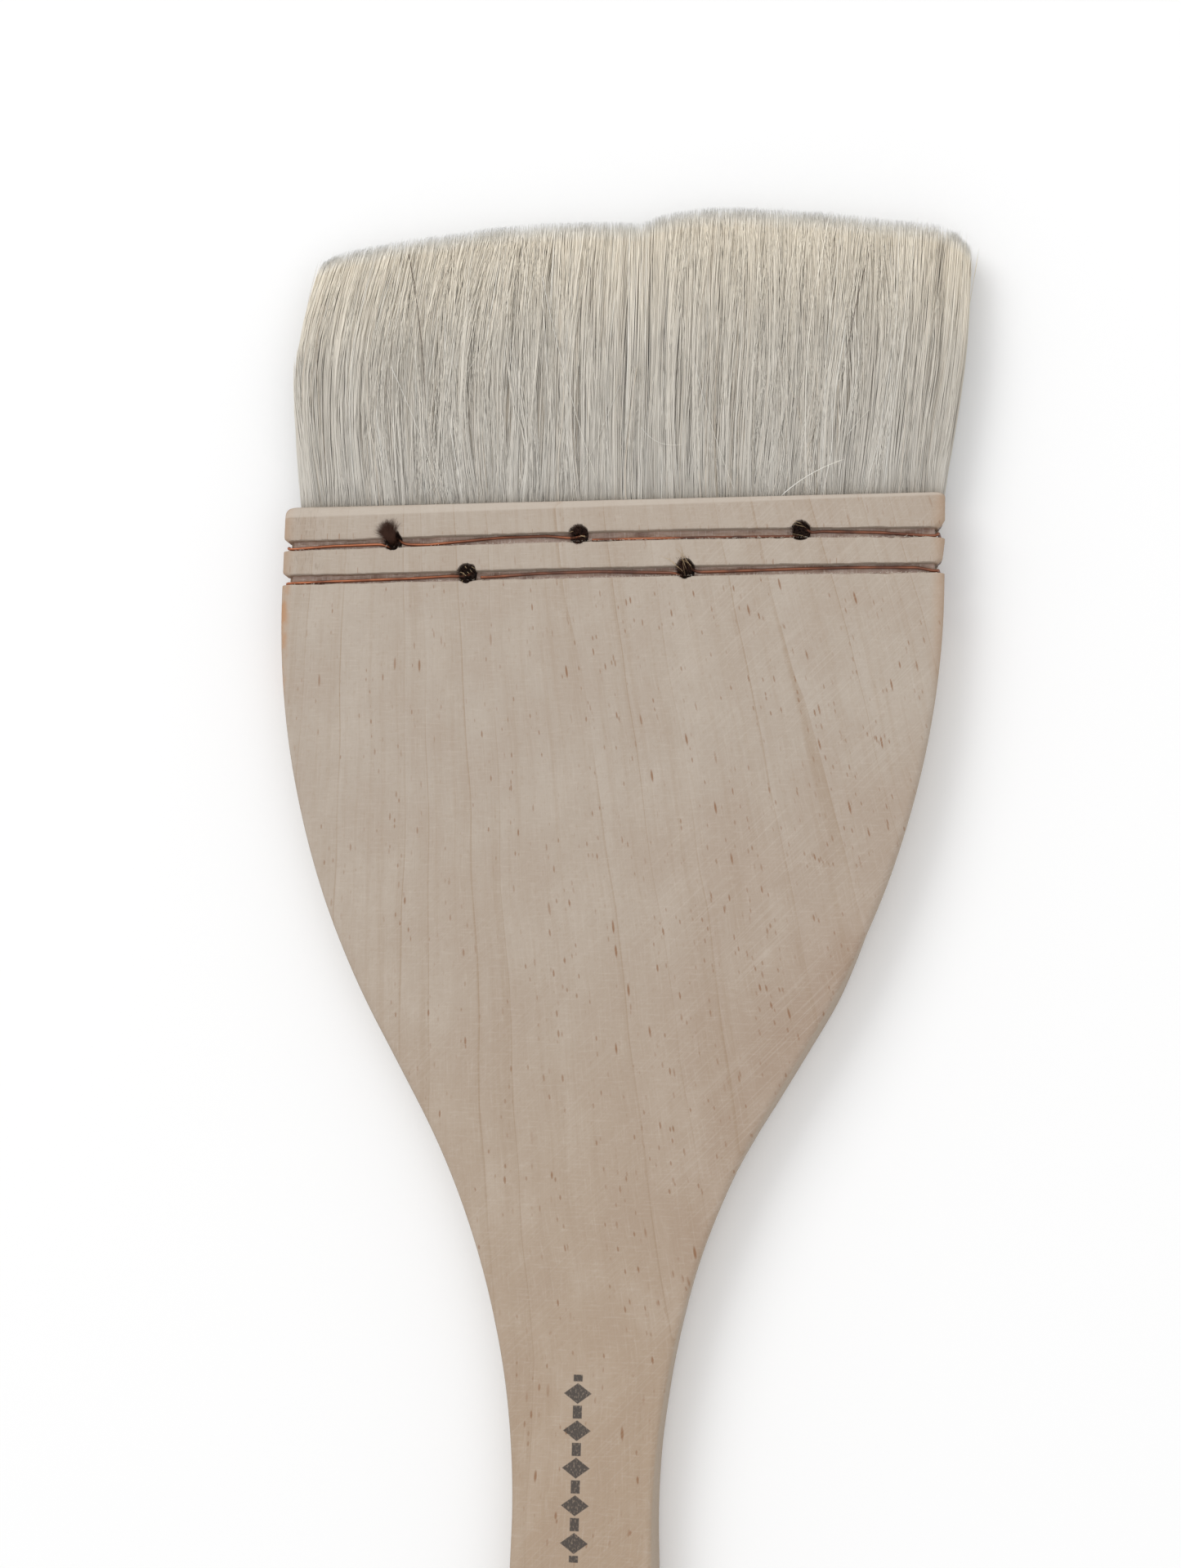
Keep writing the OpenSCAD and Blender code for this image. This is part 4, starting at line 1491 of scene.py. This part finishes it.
@dataclass
class StrayHairs:
    """The loose hairs that cross the front of the brush."""

    sizes: BrushSizes
    hair_len: float = 34.0
    strays: tuple[Stray, ...] = (
        Stray((-24.7, 30.6), (-21.7, 11.3), 0.45, 0.0, 0.05),
        Stray((29.4, 29.4), (26.8, 15.6), -0.2, 0.0, 0.045),
        Stray((-3.0, 28.5), (-2.8, 20.2), 0.1, 0.01, 0.03),
        Stray((19.7, 0.1), (27.0, 4.0), 0.45, 0.95, 0.055, 0.9),
        Stray((-8.6, 27.0), (-1.2, 1.5), -0.3, 0.9, 0.04),
        Stray((27.0, 6.8), (29.6, 9.8), 0.1, 0.9, 0.04),
        Stray((3.6, 8.4), (8.6, 6.4), -0.9, 0.92, 0.035),
        Stray((-26.0, 16.5), (-20.0, 2.0), 0.3, 0.92, 0.04),
        Stray((1.0, 13.5), (-4.5, 0.6), 0.2, 0.85, 0.035),
        Stray((9.5, 16.0), (14.5, 0.5), -0.3, 0.9, 0.035),
    )

    def build(self, hair: bpy.types.Material) -> None:
        """Makes the loose hairs."""
        s = self.sizes
        u = np.linspace(0, 1, 16)
        paths, radii = [], []
        for stray in self.strays:
            start, end = np.array(stray.start), np.array(stray.end)
            way = end - start
            left = np.array([-way[1], way[0]]) / np.linalg.norm(way)
            flat = start + way * u[:, None] + left * (stray.sag * 4 * u * (1 - u))[:, None]
            z = s.mid_z + s.half_hair(flat[:, 1] / self.hair_len) * 1.05 + stray.lift
            paths.append(np.stack([flat[:, 0], s.mouth_y + flat[:, 1], z], 1))
            radii.append(stray.radius * (1 - 0.5 * u))
        tones = np.array([stray.tone for stray in self.strays])
        blank = strands(np.array(paths), np.array(radii), tones, tones * 6)
        blank.place("stray_hairs", hair, "goat_hair")


# ---------------------------------------------------------------- binding


@dataclass(frozen=True)
class Row:
    """One row of the stitched binding.

    Attributes:
        name: upper or lower.
        groove: from the mouth to the groove's middle.
        holes: the x of each stitch hole.
        start: the number of the hole that the wire starts from.
        front_x: places across that front_off belongs to.
        front_off: how far the front's wire wanders at each, towards the mouth if positive.
    """

    name: str
    groove: float
    holes: tuple[float, ...]
    start: int
    front_x: tuple[float, ...]
    front_off: tuple[float, ...]

    def offset(self, x: Points, face: Face) -> Points:
        """How far the wire wanders from the groove's middle, towards the mouth if positive."""
        if face is Face.FRONT:
            return np.interp(x, self.front_x, self.front_off)
        return 0.2 * unevenness(x, 11, 300 + self.start) + 0.05 * unevenness(x, 3, 310 + self.start)


@dataclass
class BindingWire:
    """A wire sewn to and fro through the holes of a row and round both sides of the head.

    Attributes:
        row: the row that it binds.
        step: length of a piece of its path.
        right_in: from the head's right side to the wire's middle line.
        left_in: the same at the left.
        sides: corners round the wire.
        hole_in: how far from a hole's middle it dives in.
        hole_rise: how far it shifts along the handle there.
        hole_reach: how far from a hole the shift begins.
        end_out: how far beyond its first hole the wire's end lies.
        bed: the gap between the groove's floor and the wire.
    """

    sizes: BrushSizes
    row: Row
    step: float = 0.35
    right_in: float = 0.75
    left_in: float = 0.42
    sides: int = 12
    hole_in: float = 0.42
    hole_rise: float = 0.26
    hole_reach: float = 1.1
    end_out: float = 0.22
    bed: float = 0.15

    def route(self) -> list[tuple[float, Face, Optional[float]]]:
        """Where the wire turns.

        Returns:
            Places as (x, face, offset). An offset of None lets the wire wander along the groove.
        """
        holes, start = self.row.holes, self.row.start
        right = self.sizes.half_w - self.right_in
        left = self.left_in - self.sizes.half_w
        face = Face.FRONT
        found: list[tuple[float, Face, Optional[float]]] = [
            (holes[start] + self.sizes.stitch_r + self.end_out, face, None)
        ]

        def across(x: float, rise: Optional[float]) -> None:
            """Crosses to the other face, through a hole or round a side of the head."""
            nonlocal face
            found.append((x, face, rise))
            face = Face(-face.value)
            found.append((x, face, rise))

        for hole in holes[start + 1:]:
            across(hole - self.hole_in, -self.hole_rise)
        across(right, None)
        for hole in reversed(holes):
            across(hole + self.hole_in, self.hole_rise)
        across(left, None)
        for hole in holes[:start + 1]:
            across(hole - self.hole_in, -self.hole_rise)
        return found

    def path(self) -> Points:
        """The wire's middle line, closely spaced, with its corners rounded."""
        s, row = self.sizes, self.row
        high = s.floor_z + self.bed + s.wire_r
        turns = self.route()
        places: list[list[float]] = []
        for (x, face, rise), (next_x, next_face, next_rise) in zip(turns, turns[1:]):
            length = abs(next_x - x) if face is next_face else 2 * high
            count = max(int(length / self.step), 2)
            share = np.linspace(0, 1, count, endpoint=False)
            along = x + (next_x - x) * share
            wander = row.offset(along, face)
            off = wander + (self.pull(along, x, rise, wander)
                            + self.pull(along, next_x, next_rise, wander))
            level = face.value * high + (next_face.value - face.value) * high * share
            level = level + face.value * 0.03 * unevenness(along, 2.5, 330) * (face is next_face)
            y = s.along(along, row.groove) + off
            places += np.stack([along, y, s.mid_z + level], 1).tolist()
        path = np.array(places)
        for _ in range(2):
            path[1:-1] = 0.25 * path[:-2] + 0.5 * path[1:-1] + 0.25 * path[2:]
        gaps = np.concatenate([[0], np.cumsum(np.linalg.norm(np.diff(path, axis=0), axis=1))])
        even = np.arange(0, gaps[-1], self.step * 0.8)
        return np.stack([np.interp(even, gaps, path[:, k]) for k in range(3)], axis=1)

    def pull(self, along: Points, x: float, rise: Optional[float], wander: Points) -> Points:
        """How far a hole at x, with this rise, draws the wire off its wander. None draws nothing."""
        if rise is None:
            return np.zeros_like(along)
        return (rise - wander) * np.clip(1 - np.abs(along - x) / self.hole_reach, 0, 1)

    def build(self, copper: bpy.types.Material) -> None:
        """Makes the wire."""
        path = self.path()
        radii = np.full(len(path), self.sizes.wire_r)
        radii[0] = radii[-1] = self.sizes.wire_r * 0.72
        path[0] = path[1] + (path[0] - path[1]) * 0.3
        blank = tube(path, radii, self.sides)
        blank.place(f"{self.row.name}_wire", copper, "copper_wire",
                    [f"{self.row.name}_binding_wire"], 50)


@dataclass
class GlueFilm:
    """A thin dried glue film on a groove's floor, with lumps and a bead along the wire."""

    sizes: BrushSizes
    row: Row
    face: Face
    step: float = 0.16
    across: int = 15
    side_in: float = 1.15
    hole_in: float = 0.05
    bed: float = 0.09
    sink: float = 0.12
    bead_r: float = 0.3
    climb: float = 0.22

    def build(self, glue: bpy.types.Material) -> None:
        """Makes the film: thin closed strips between the stitch holes."""
        s, row = self.sizes, self.row
        seed = 400 + 10 * row.start + self.face.value
        end = s.half_w - self.side_in
        stops = [-end, *row.holes, end]
        blanks = []
        for left, right in zip(stops, stops[1:]):
            low = left + (s.stitch_r - self.hole_in if left > -end else 0)
            high = right - (s.stitch_r - self.hole_in if right < end else 0)
            x = np.linspace(low, high, int((high - low) / self.step))[:, None]
            v = np.linspace(-1, 1, self.across)[None]
            half = s.groove_half + 0.02
            off = half * v + 0 * x
            wire = row.offset(x, self.face)
            bead = np.exp(-(((off - wire) / self.bead_r) ** 2)) * (
                0.12 + 0.16 * np.clip(unevenness(x, 2.2, seed), 0, 1)
            )
            lumps = 0.09 * np.clip(unevenness_2d(x, off, 0.5, 0.25, seed + 2) - 0.25, 0, 1)
            climb = self.climb * np.abs(v) ** 6 * (0.6 + 0.4 * unevenness(x, 1.5, seed + 3))
            top = s.floor_z + self.bed + bead + lumps + climb
            top = top + 0.02 * unevenness_2d(x, off, 0.2, 0.4, seed + 4)
            y = s.along(x, row.groove) + off
            z_top = s.mid_z + self.face.value * top
            z_low = s.mid_z + self.face.value * (s.floor_z - self.sink) + 0 * top
            sheets = [np.stack(np.broadcast_arrays(x, y, z), axis=-1) for z in (z_top, z_low)]
            blanks.append(pad(*sheets, -self.face.value))
        side = self.face.name.lower()
        joined(blanks).place(f"{row.name}_glue_{side}", glue, "groove_glue",
                             [f"{row.name}_glue_film_{side}"], 60)


@dataclass
class Resin:
    """The resin that fills the slot round the hair's roots."""

    sizes: BrushSizes
    paddle: Paddle
    sink: float = 0.4
    side_in: float = 0.12
    rows: int = 44
    columns: int = 60

    def build(self, resin: bpy.types.Material) -> None:
        """Makes the resin block: uneven ends at both sides of the head, a lumpy top."""
        s = self.sizes
        d = np.linspace(self.sink, s.slot_depth - 0.02, self.rows)
        top = s.slot_t / 2 - 0.01
        side_z = np.linspace(-top, top, 9)[1:-1]
        width = self.paddle.outline(d)[0]
        undercut = self.paddle.undercut(d)
        rings = []
        for depth, wide, slant in zip(d, width, undercut):
            bite = max(
                np.clip(1 - (abs(depth - place) - s.groove_half - 0.1) / 0.75, 0, 1)
                for place in s.grooves
            )
            half = wide - self.side_in - (s.notch_depth + 0.05) * bite
            if depth < 2:
                half -= 1.0 * (1 - depth / 2) ** 2
            right = half - slant * (1 - (s.mid_z + side_z) / s.plank_t)
            front = np.linspace(-half, right[-1], self.columns)
            back = np.linspace(-half, right[0], self.columns)
            bulge = 0.1 * (1 - (side_z / top) ** 2) + 0.06 * unevenness(side_z + depth, 0.8, 500)
            ring_x = np.concatenate([back, right + bulge, front[::-1], -half - bulge])
            level = np.full(self.columns, top)
            ring_z = np.concatenate([-level, side_z, level, side_z[::-1]])
            lumps = 0.1 * unevenness(ring_x, 1.3, 510) * (depth < self.sink + 0.01)
            rings.append(np.stack([ring_x, s.mouth_y - depth + lumps, s.mid_z + ring_z], 1))
        blank = solid_of_rings(np.array(rings), inside_out=True)
        blank.place("root_resin_block", resin, "root_resin", ["root_resin"], 40)


@dataclass(frozen=True)
class Spray:
    """Fibres that leave a hole the same way.

    Attributes:
        count: how many there are.
        length: their length.
        way: where they lean, in degrees from right towards the mouth.
        spread: how much that varies, in degrees. From ALL_ROUND on they lean outwards.
        tone: their tone, from black (0) to tan (1).
        width: how much of the hole they leave from, from its middle (0) to its rim (1).
        lift: how high their ends stand over the face.
        thick: their radius.
    """

    count: int
    length: float
    way: float
    spread: float
    tone: tuple[float, float]
    width: float = 0.9
    lift: float = 0.3
    thick: float = 0.035


@dataclass
class FibreTuft:
    """Cut hair ends matted in one stitch hole."""

    name: str
    sizes: BrushSizes
    x: float
    d: float
    seed: int
    sprays: tuple[Spray, ...]
    plug_from: float = 1.35
    plug_below: float = 1.15
    plug_sides: int = 28
    plug_steps: int = 9
    plug_ends: tuple[float, ...] = (0.12, 0.45, 0.75, 0.97)

    def plug(self) -> Blank:
        """The dark mat inside the hole, its ends uneven. Its near-black tone is partly charred hair
        and partly painted shade deep in the hole.
        """
        s = self.sizes
        turn = np.arange(self.plug_sides) * (2 * np.pi / self.plug_sides)
        steps, end_ring = self.plug_steps, np.ones(len(self.plug_ends))
        ends = np.concatenate([self.plug_ends, np.ones(steps), self.plug_ends[::-1]])
        low, high = self.plug_from, s.plank_t - self.plug_below
        heights = np.concatenate([end_ring * low, np.linspace(low, high, steps), end_ring * high])
        dome = np.concatenate([end_ring, np.zeros(steps), -end_ring])
        centre_y = s.along(self.x, self.d) + s.stitch_rise
        points = []
        for i, (end, height) in enumerate(zip(ends, heights)):
            uneven = 1 + 0.05 * np.sin(3 * turn + i) + 0.04 * np.sin(7 * turn - i)
            r = (s.stitch_r - 0.03) * end * np.minimum(uneven, 1.02)
            lift = dome[i] * 0.25 * (1 - end) * np.cos(2 * turn + i)
            points.append(np.stack([self.x + r * np.cos(turn), centre_y + r * np.sin(turn),
                                    height + lift], 1))
        blank = solid_of_rings(np.array(points))
        count = len(blank.points)
        blank.numbers = {"tone": np.full(count, 0.05), "reach": np.zeros(count)}
        blank.map_places = np.full((count, 2), MAP_MARGIN)
        return blank

    def fibres(self, spray: Spray, face: Face, rng: np.random.Generator) -> Blank:
        """One spray of fibres on one face."""
        s = self.sizes
        n, steps = spray.count, 7
        radius = s.stitch_r * spray.width * np.sqrt(rng.uniform(0, 1, n))
        around = rng.uniform(0, 2 * np.pi, n)
        way = np.radians(spray.way + rng.normal(0, spray.spread, n))
        if spray.spread >= ALL_ROUND:
            way = around + rng.normal(0, 0.7, n)
        length = spray.length * rng.uniform(0.45, 1.0, n)
        u = np.linspace(0, 1, steps)
        curl = rng.normal(0, 0.5, n)
        step = length[:, None] / (steps - 1)
        heading = way[:, None] + curl[:, None] * u[None]
        travel = np.cumsum(np.cos(heading) * step, 1), np.cumsum(np.sin(heading) * step, 1)
        begin = s.mid_z - 1.5
        face_z = s.mid_z + spray.lift * rng.uniform(0.25, 1.0, n)
        climb = np.clip(u[None] * 2.6, 0, 1) ** 0.8
        z = begin + (face_z[:, None] - begin) * climb + 0.05 * np.sin(
            np.pi * u[None] * 1.5 + around[:, None])
        lean = np.clip(u[None] * 1.6 - 0.35, 0, 1)
        x = self.x + (radius * np.cos(around))[:, None] + travel[0] * lean
        y = (s.along(self.x, self.d) + s.stitch_rise + (radius * np.sin(around))[:, None]
             + travel[1] * lean)
        paths = np.stack([x, y, s.mid_z + face.value * z], axis=2)
        radii = spray.thick * rng.uniform(0.7, 1.3, (n, 1)) * (1 - 0.5 * u[None] ** 2)
        tones = rng.uniform(*spray.tone, n)
        return strands(paths, radii, tones, around)

    def build(self, fibre: bpy.types.Material) -> None:
        """Makes the plug and its fibres on both faces."""
        rng = np.random.default_rng(self.seed)
        mats = [self.plug()]
        for spray in self.sprays:
            mats.append(self.fibres(spray, Face.FRONT, rng))
        behind = Spray(120, 0.4, 0, ALL_ROUND, (0.0, 0.5), lift=0.05, thick=0.025)
        mats.append(self.fibres(behind, Face.BACK, rng))
        nodes = [f"{self.name}_fibre_tuft"]
        joined(mats).place(f"{self.name}_tuft", fibre, "dark_fibre", nodes)


@dataclass
class TornLips:
    """Short pale wood fibres that the saw left along the grooves' lower lips."""

    sizes: BrushSizes
    rows: Sequence[Row]
    per_row: int = 420

    def build(self, torn: bpy.types.Material) -> None:
        """Makes the fibres on both faces."""
        s = self.sizes
        rng = np.random.default_rng(700)
        blanks = []
        for face in Face:
            for row in self.rows:
                n, steps = self.per_row, 4
                x = rng.uniform(-1, 1, n) * (s.half_w - 1.5)
                keep = rng.uniform(0, 1, n) < 0.45 + 0.55 * (x > -4)
                x = x[keep]
                n = len(x)
                way = np.radians(rng.choice([20, 40, 65, 150], n) + rng.normal(0, 12, n))
                length = rng.uniform(0.06, 0.24, n) * (1 + 1.4 * (rng.uniform(0, 1, n) < 0.06))
                u = np.linspace(0, 1, steps)[None]
                bend = rng.normal(0, 0.08, (n, 1)) * u**2
                lip = s.along(x, row.groove) - s.groove_half - 0.02
                paths = np.stack(
                    [
                        x[:, None] + np.cos(way)[:, None] * length[:, None] * u + bend,
                        lip[:, None] + np.sin(way)[:, None] * length[:, None] * u * 0.8,
                        s.mid_z + face.value * (s.mid_z - 0.06 + 0.07 * u + 0 * x[:, None]),
                    ],
                    axis=2,
                )
                radii = rng.uniform(0.015, 0.035, (n, 1)) * (1 - 0.4 * u)
                blanks.append(strands(paths, radii, rng.uniform(0, 1, n), rng.uniform(0, 6, n)))
        joined(blanks).place("torn_lip_fibres", torn, "handle_wood")


# ---------------------------------------------------------------- studio


@dataclass
class Studio:
    """Floor, soft light and camera. The floor's own sizes and the lamps' places are metres."""

    sizes: BrushSizes
    azimuth: float = 47.473
    elevation: float = 75.235
    roll: float = 1.548
    distance: float = 350.0
    aim_x: float = -1.113
    aim_d: float = 32.735
    lens: float = 72.07
    film: float = 36.0
    floor_half: float = 3.0
    floor_z: float = -0.0002
    sky: float = 0.75

    def camera(self) -> None:
        """A camera below and to the right of the brush, looking back up at it."""
        a, e, roll = (math.radians(v) for v in (self.azimuth, self.elevation, self.roll))
        back = Vector((math.sin(a) * math.cos(e), -math.cos(a) * math.cos(e), math.sin(e)))
        up = Vector((0, 1, 0)) - back * back.y
        up.normalize()
        right = up.cross(back)
        tilted_right = right * math.cos(roll) + up * math.sin(roll)
        tilted_up = up * math.cos(roll) - right * math.sin(roll)
        aim = Vector((self.aim_x, self.sizes.mouth_y - self.aim_d, self.sizes.plank_t)) * MM
        data = bpy.data.cameras.new("camera")
        data.lens, data.sensor_width = self.lens, self.film
        data.clip_start, data.clip_end = 0.01, 20
        made = bpy.data.objects.new("camera", data)
        turn = Matrix((tilted_right, tilted_up, back)).transposed().to_4x4()
        made.matrix_world = Matrix.Translation(aim + back * self.distance * MM) @ turn
        bpy.context.scene.collection.objects.link(made)
        bpy.context.scene.camera = made

    def lamp(self, name: str, place: Vector, aim: Vector, size: float, watts: float) -> None:
        """A square soft lamp."""
        data = bpy.data.lights.new(name, "AREA")
        data.shape, data.size, data.energy = "SQUARE", size, watts
        made = bpy.data.objects.new(name, data)
        made.location = place
        made.rotation_euler = (aim - place).to_track_quat("-Z", "Y").to_euler()
        bpy.context.scene.collection.objects.link(made)

    def build(self, floor: bpy.types.Material) -> None:
        """Makes the floor, the lamps, the pale surroundings and the camera."""
        half = self.floor_half
        corners = [(-half, -half), (half, -half), (half, half), (-half, half)]
        mesh = bpy.data.meshes.new("floor")
        mesh.from_pydata([(x, y, self.floor_z) for x, y in corners], [], [(0, 1, 2, 3)])
        mesh.materials.append(floor)
        made = bpy.data.objects.new("floor", mesh)
        bpy.context.scene.collection.objects.link(made)
        made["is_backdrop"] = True
        aim = Vector((0, 0, 0))
        self.lamp("key_lamp", Vector((-0.6, 0.7, 0.9)), aim, 0.8, 6.0)
        self.lamp("fill_lamp", Vector((0.5, -0.3, 1.1)), aim, 1.2, 3.0)
        world = bpy.data.worlds.new("pale_room")
        world.use_nodes = True
        sky = world.node_tree.nodes["Background"]
        sky.inputs["Color"].default_value = (1, 1, 1, 1)
        sky.inputs["Strength"].default_value = self.sky
        bpy.context.scene.world = world
        bpy.context.scene.view_settings.view_transform = "Standard"
        self.camera()


def hair_bundles(sizes: BrushSizes) -> tuple[HairBundle, HairBundle]:
    """The two bundles, left and right."""
    left = HairBundle(
        "hair_left", sizes, side=-1, mouth_in=1.6, swell=1.8, lean=1.4, lean_power=2.0,
        tip_places=(0, 0.15, 0.29, 0.43, 0.59, 0.69, 0.8, 0.95, 1),
        tip_lens=(33.5, 33.9, 34.0, 33.8, 33.1, 32.8, 32.2, 31.1, 30.4), locks=90, seed=3,
    )
    right = HairBundle(
        "hair_right", sizes, side=1, mouth_in=0.55, swell=0.4, lean=2.8, lean_power=1.0,
        tip_places=(0, 0.05, 0.13, 0.23, 0.31, 0.57, 0.65, 0.8, 0.9, 0.96, 1),
        tip_lens=(33.6, 34.3, 34.9, 35.1, 34.9, 33.9, 33.3, 32.5, 31.9, 31.0, 29.4),
        locks=84, seed=5,
    )
    return left, right


def fibre_tufts(sizes: BrushSizes, upper: Row, lower: Row) -> list[FibreTuft]:
    """The five tufts, each with its own sprays of fibres."""
    black, dark, olive, tan = (0.0, 0.3), (0.05, 0.4), (0.35, 0.75), (0.86, 1.0)
    rim = Spray(260, 0.26, 0, ALL_ROUND, dark, width=1.02, lift=0.04, thick=0.012)
    kinds = (
        ("left", upper, 0, 21, Spray(900, 2.1, 118, 12, (0.3, 0.76), 0.45, 0.4, 0.013)),
        ("middle", upper, 1, 22, Spray(110, 0.4, 95, 40, olive, 1.0, 0.08, 0.014),
         # Painted glint: four pale fibres leaning down and left from the middle hole
         Spray(4, 0.6, -150, 20, tan, thick=0.03)),
        ("right", upper, 2, 23, Spray(100, 0.4, 100, 60, dark, 1.0, 0.06, 0.014),
         Spray(3, 1.7, 172, 8, tan, lift=0.12, thick=0.02)),
        ("left", lower, 0, 24, Spray(160, 0.45, 100, 50, black, 1.0, 0.08, 0.016),
         Spray(9, 0.5, -50, 25, tan, thick=0.03)),
        ("right", lower, 1, 25, Spray(80, 0.8, 110, 24, olive, 0.9, 0.16, 0.015),
         Spray(8, 2.8, 112, 12, tan, lift=0.22, thick=0.02)),
    )
    return [
        FibreTuft(f"{row.name}_{place}", sizes, row.holes[hole], row.groove, seed, (rim, *sprays))
        for place, row, hole, seed, *sprays in kinds
    ]


def main() -> None:
    """Builds the brush in order, from the wood to the hair, and the studio round it."""
    logging.basicConfig(level=logging.INFO, format="%(name)s: %(message)s")
    cad_box = [corner.copy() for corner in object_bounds()]
    sizes = BrushSizes.from_frame()
    wood = RawWood(sizes.mouth_y, sizes.plank_t, sizes.grooves, sizes.groove_half).material()
    hair = GoatHair().material()
    paddle = Paddle(sizes)
    paddle.build(wood)
    Resin(sizes, paddle).build(RootResin().material())
    upper = Row("upper", sizes.upper_groove, sizes.upper_holes, 1, UPPER_WIRE_X, UPPER_WIRE_OFF)
    lower = Row("lower", sizes.lower_groove, sizes.lower_holes, 0, LOWER_WIRE_X, LOWER_WIRE_OFF)
    copper, glue = CopperWire(sizes.mouth_y - sizes.lower_groove).material(), GrooveGlue().material()
    for row in (upper, lower):
        BindingWire(sizes, row).build(copper)
        for face in Face:
            GlueFilm(sizes, row, face).build(glue)
    TornLips(sizes, (upper, lower)).build(TornWood().material())
    fibre = DarkFibre().material()
    for tuft in fibre_tufts(sizes, upper, lower):
        tuft.build(fibre)
    for bundle in hair_bundles(sizes):
        bundle.build(hair)
    StrayHairs(sizes).build(hair)
    Studio(sizes).build(StudioFloor().material())


if __name__ == "__main__":
    main()
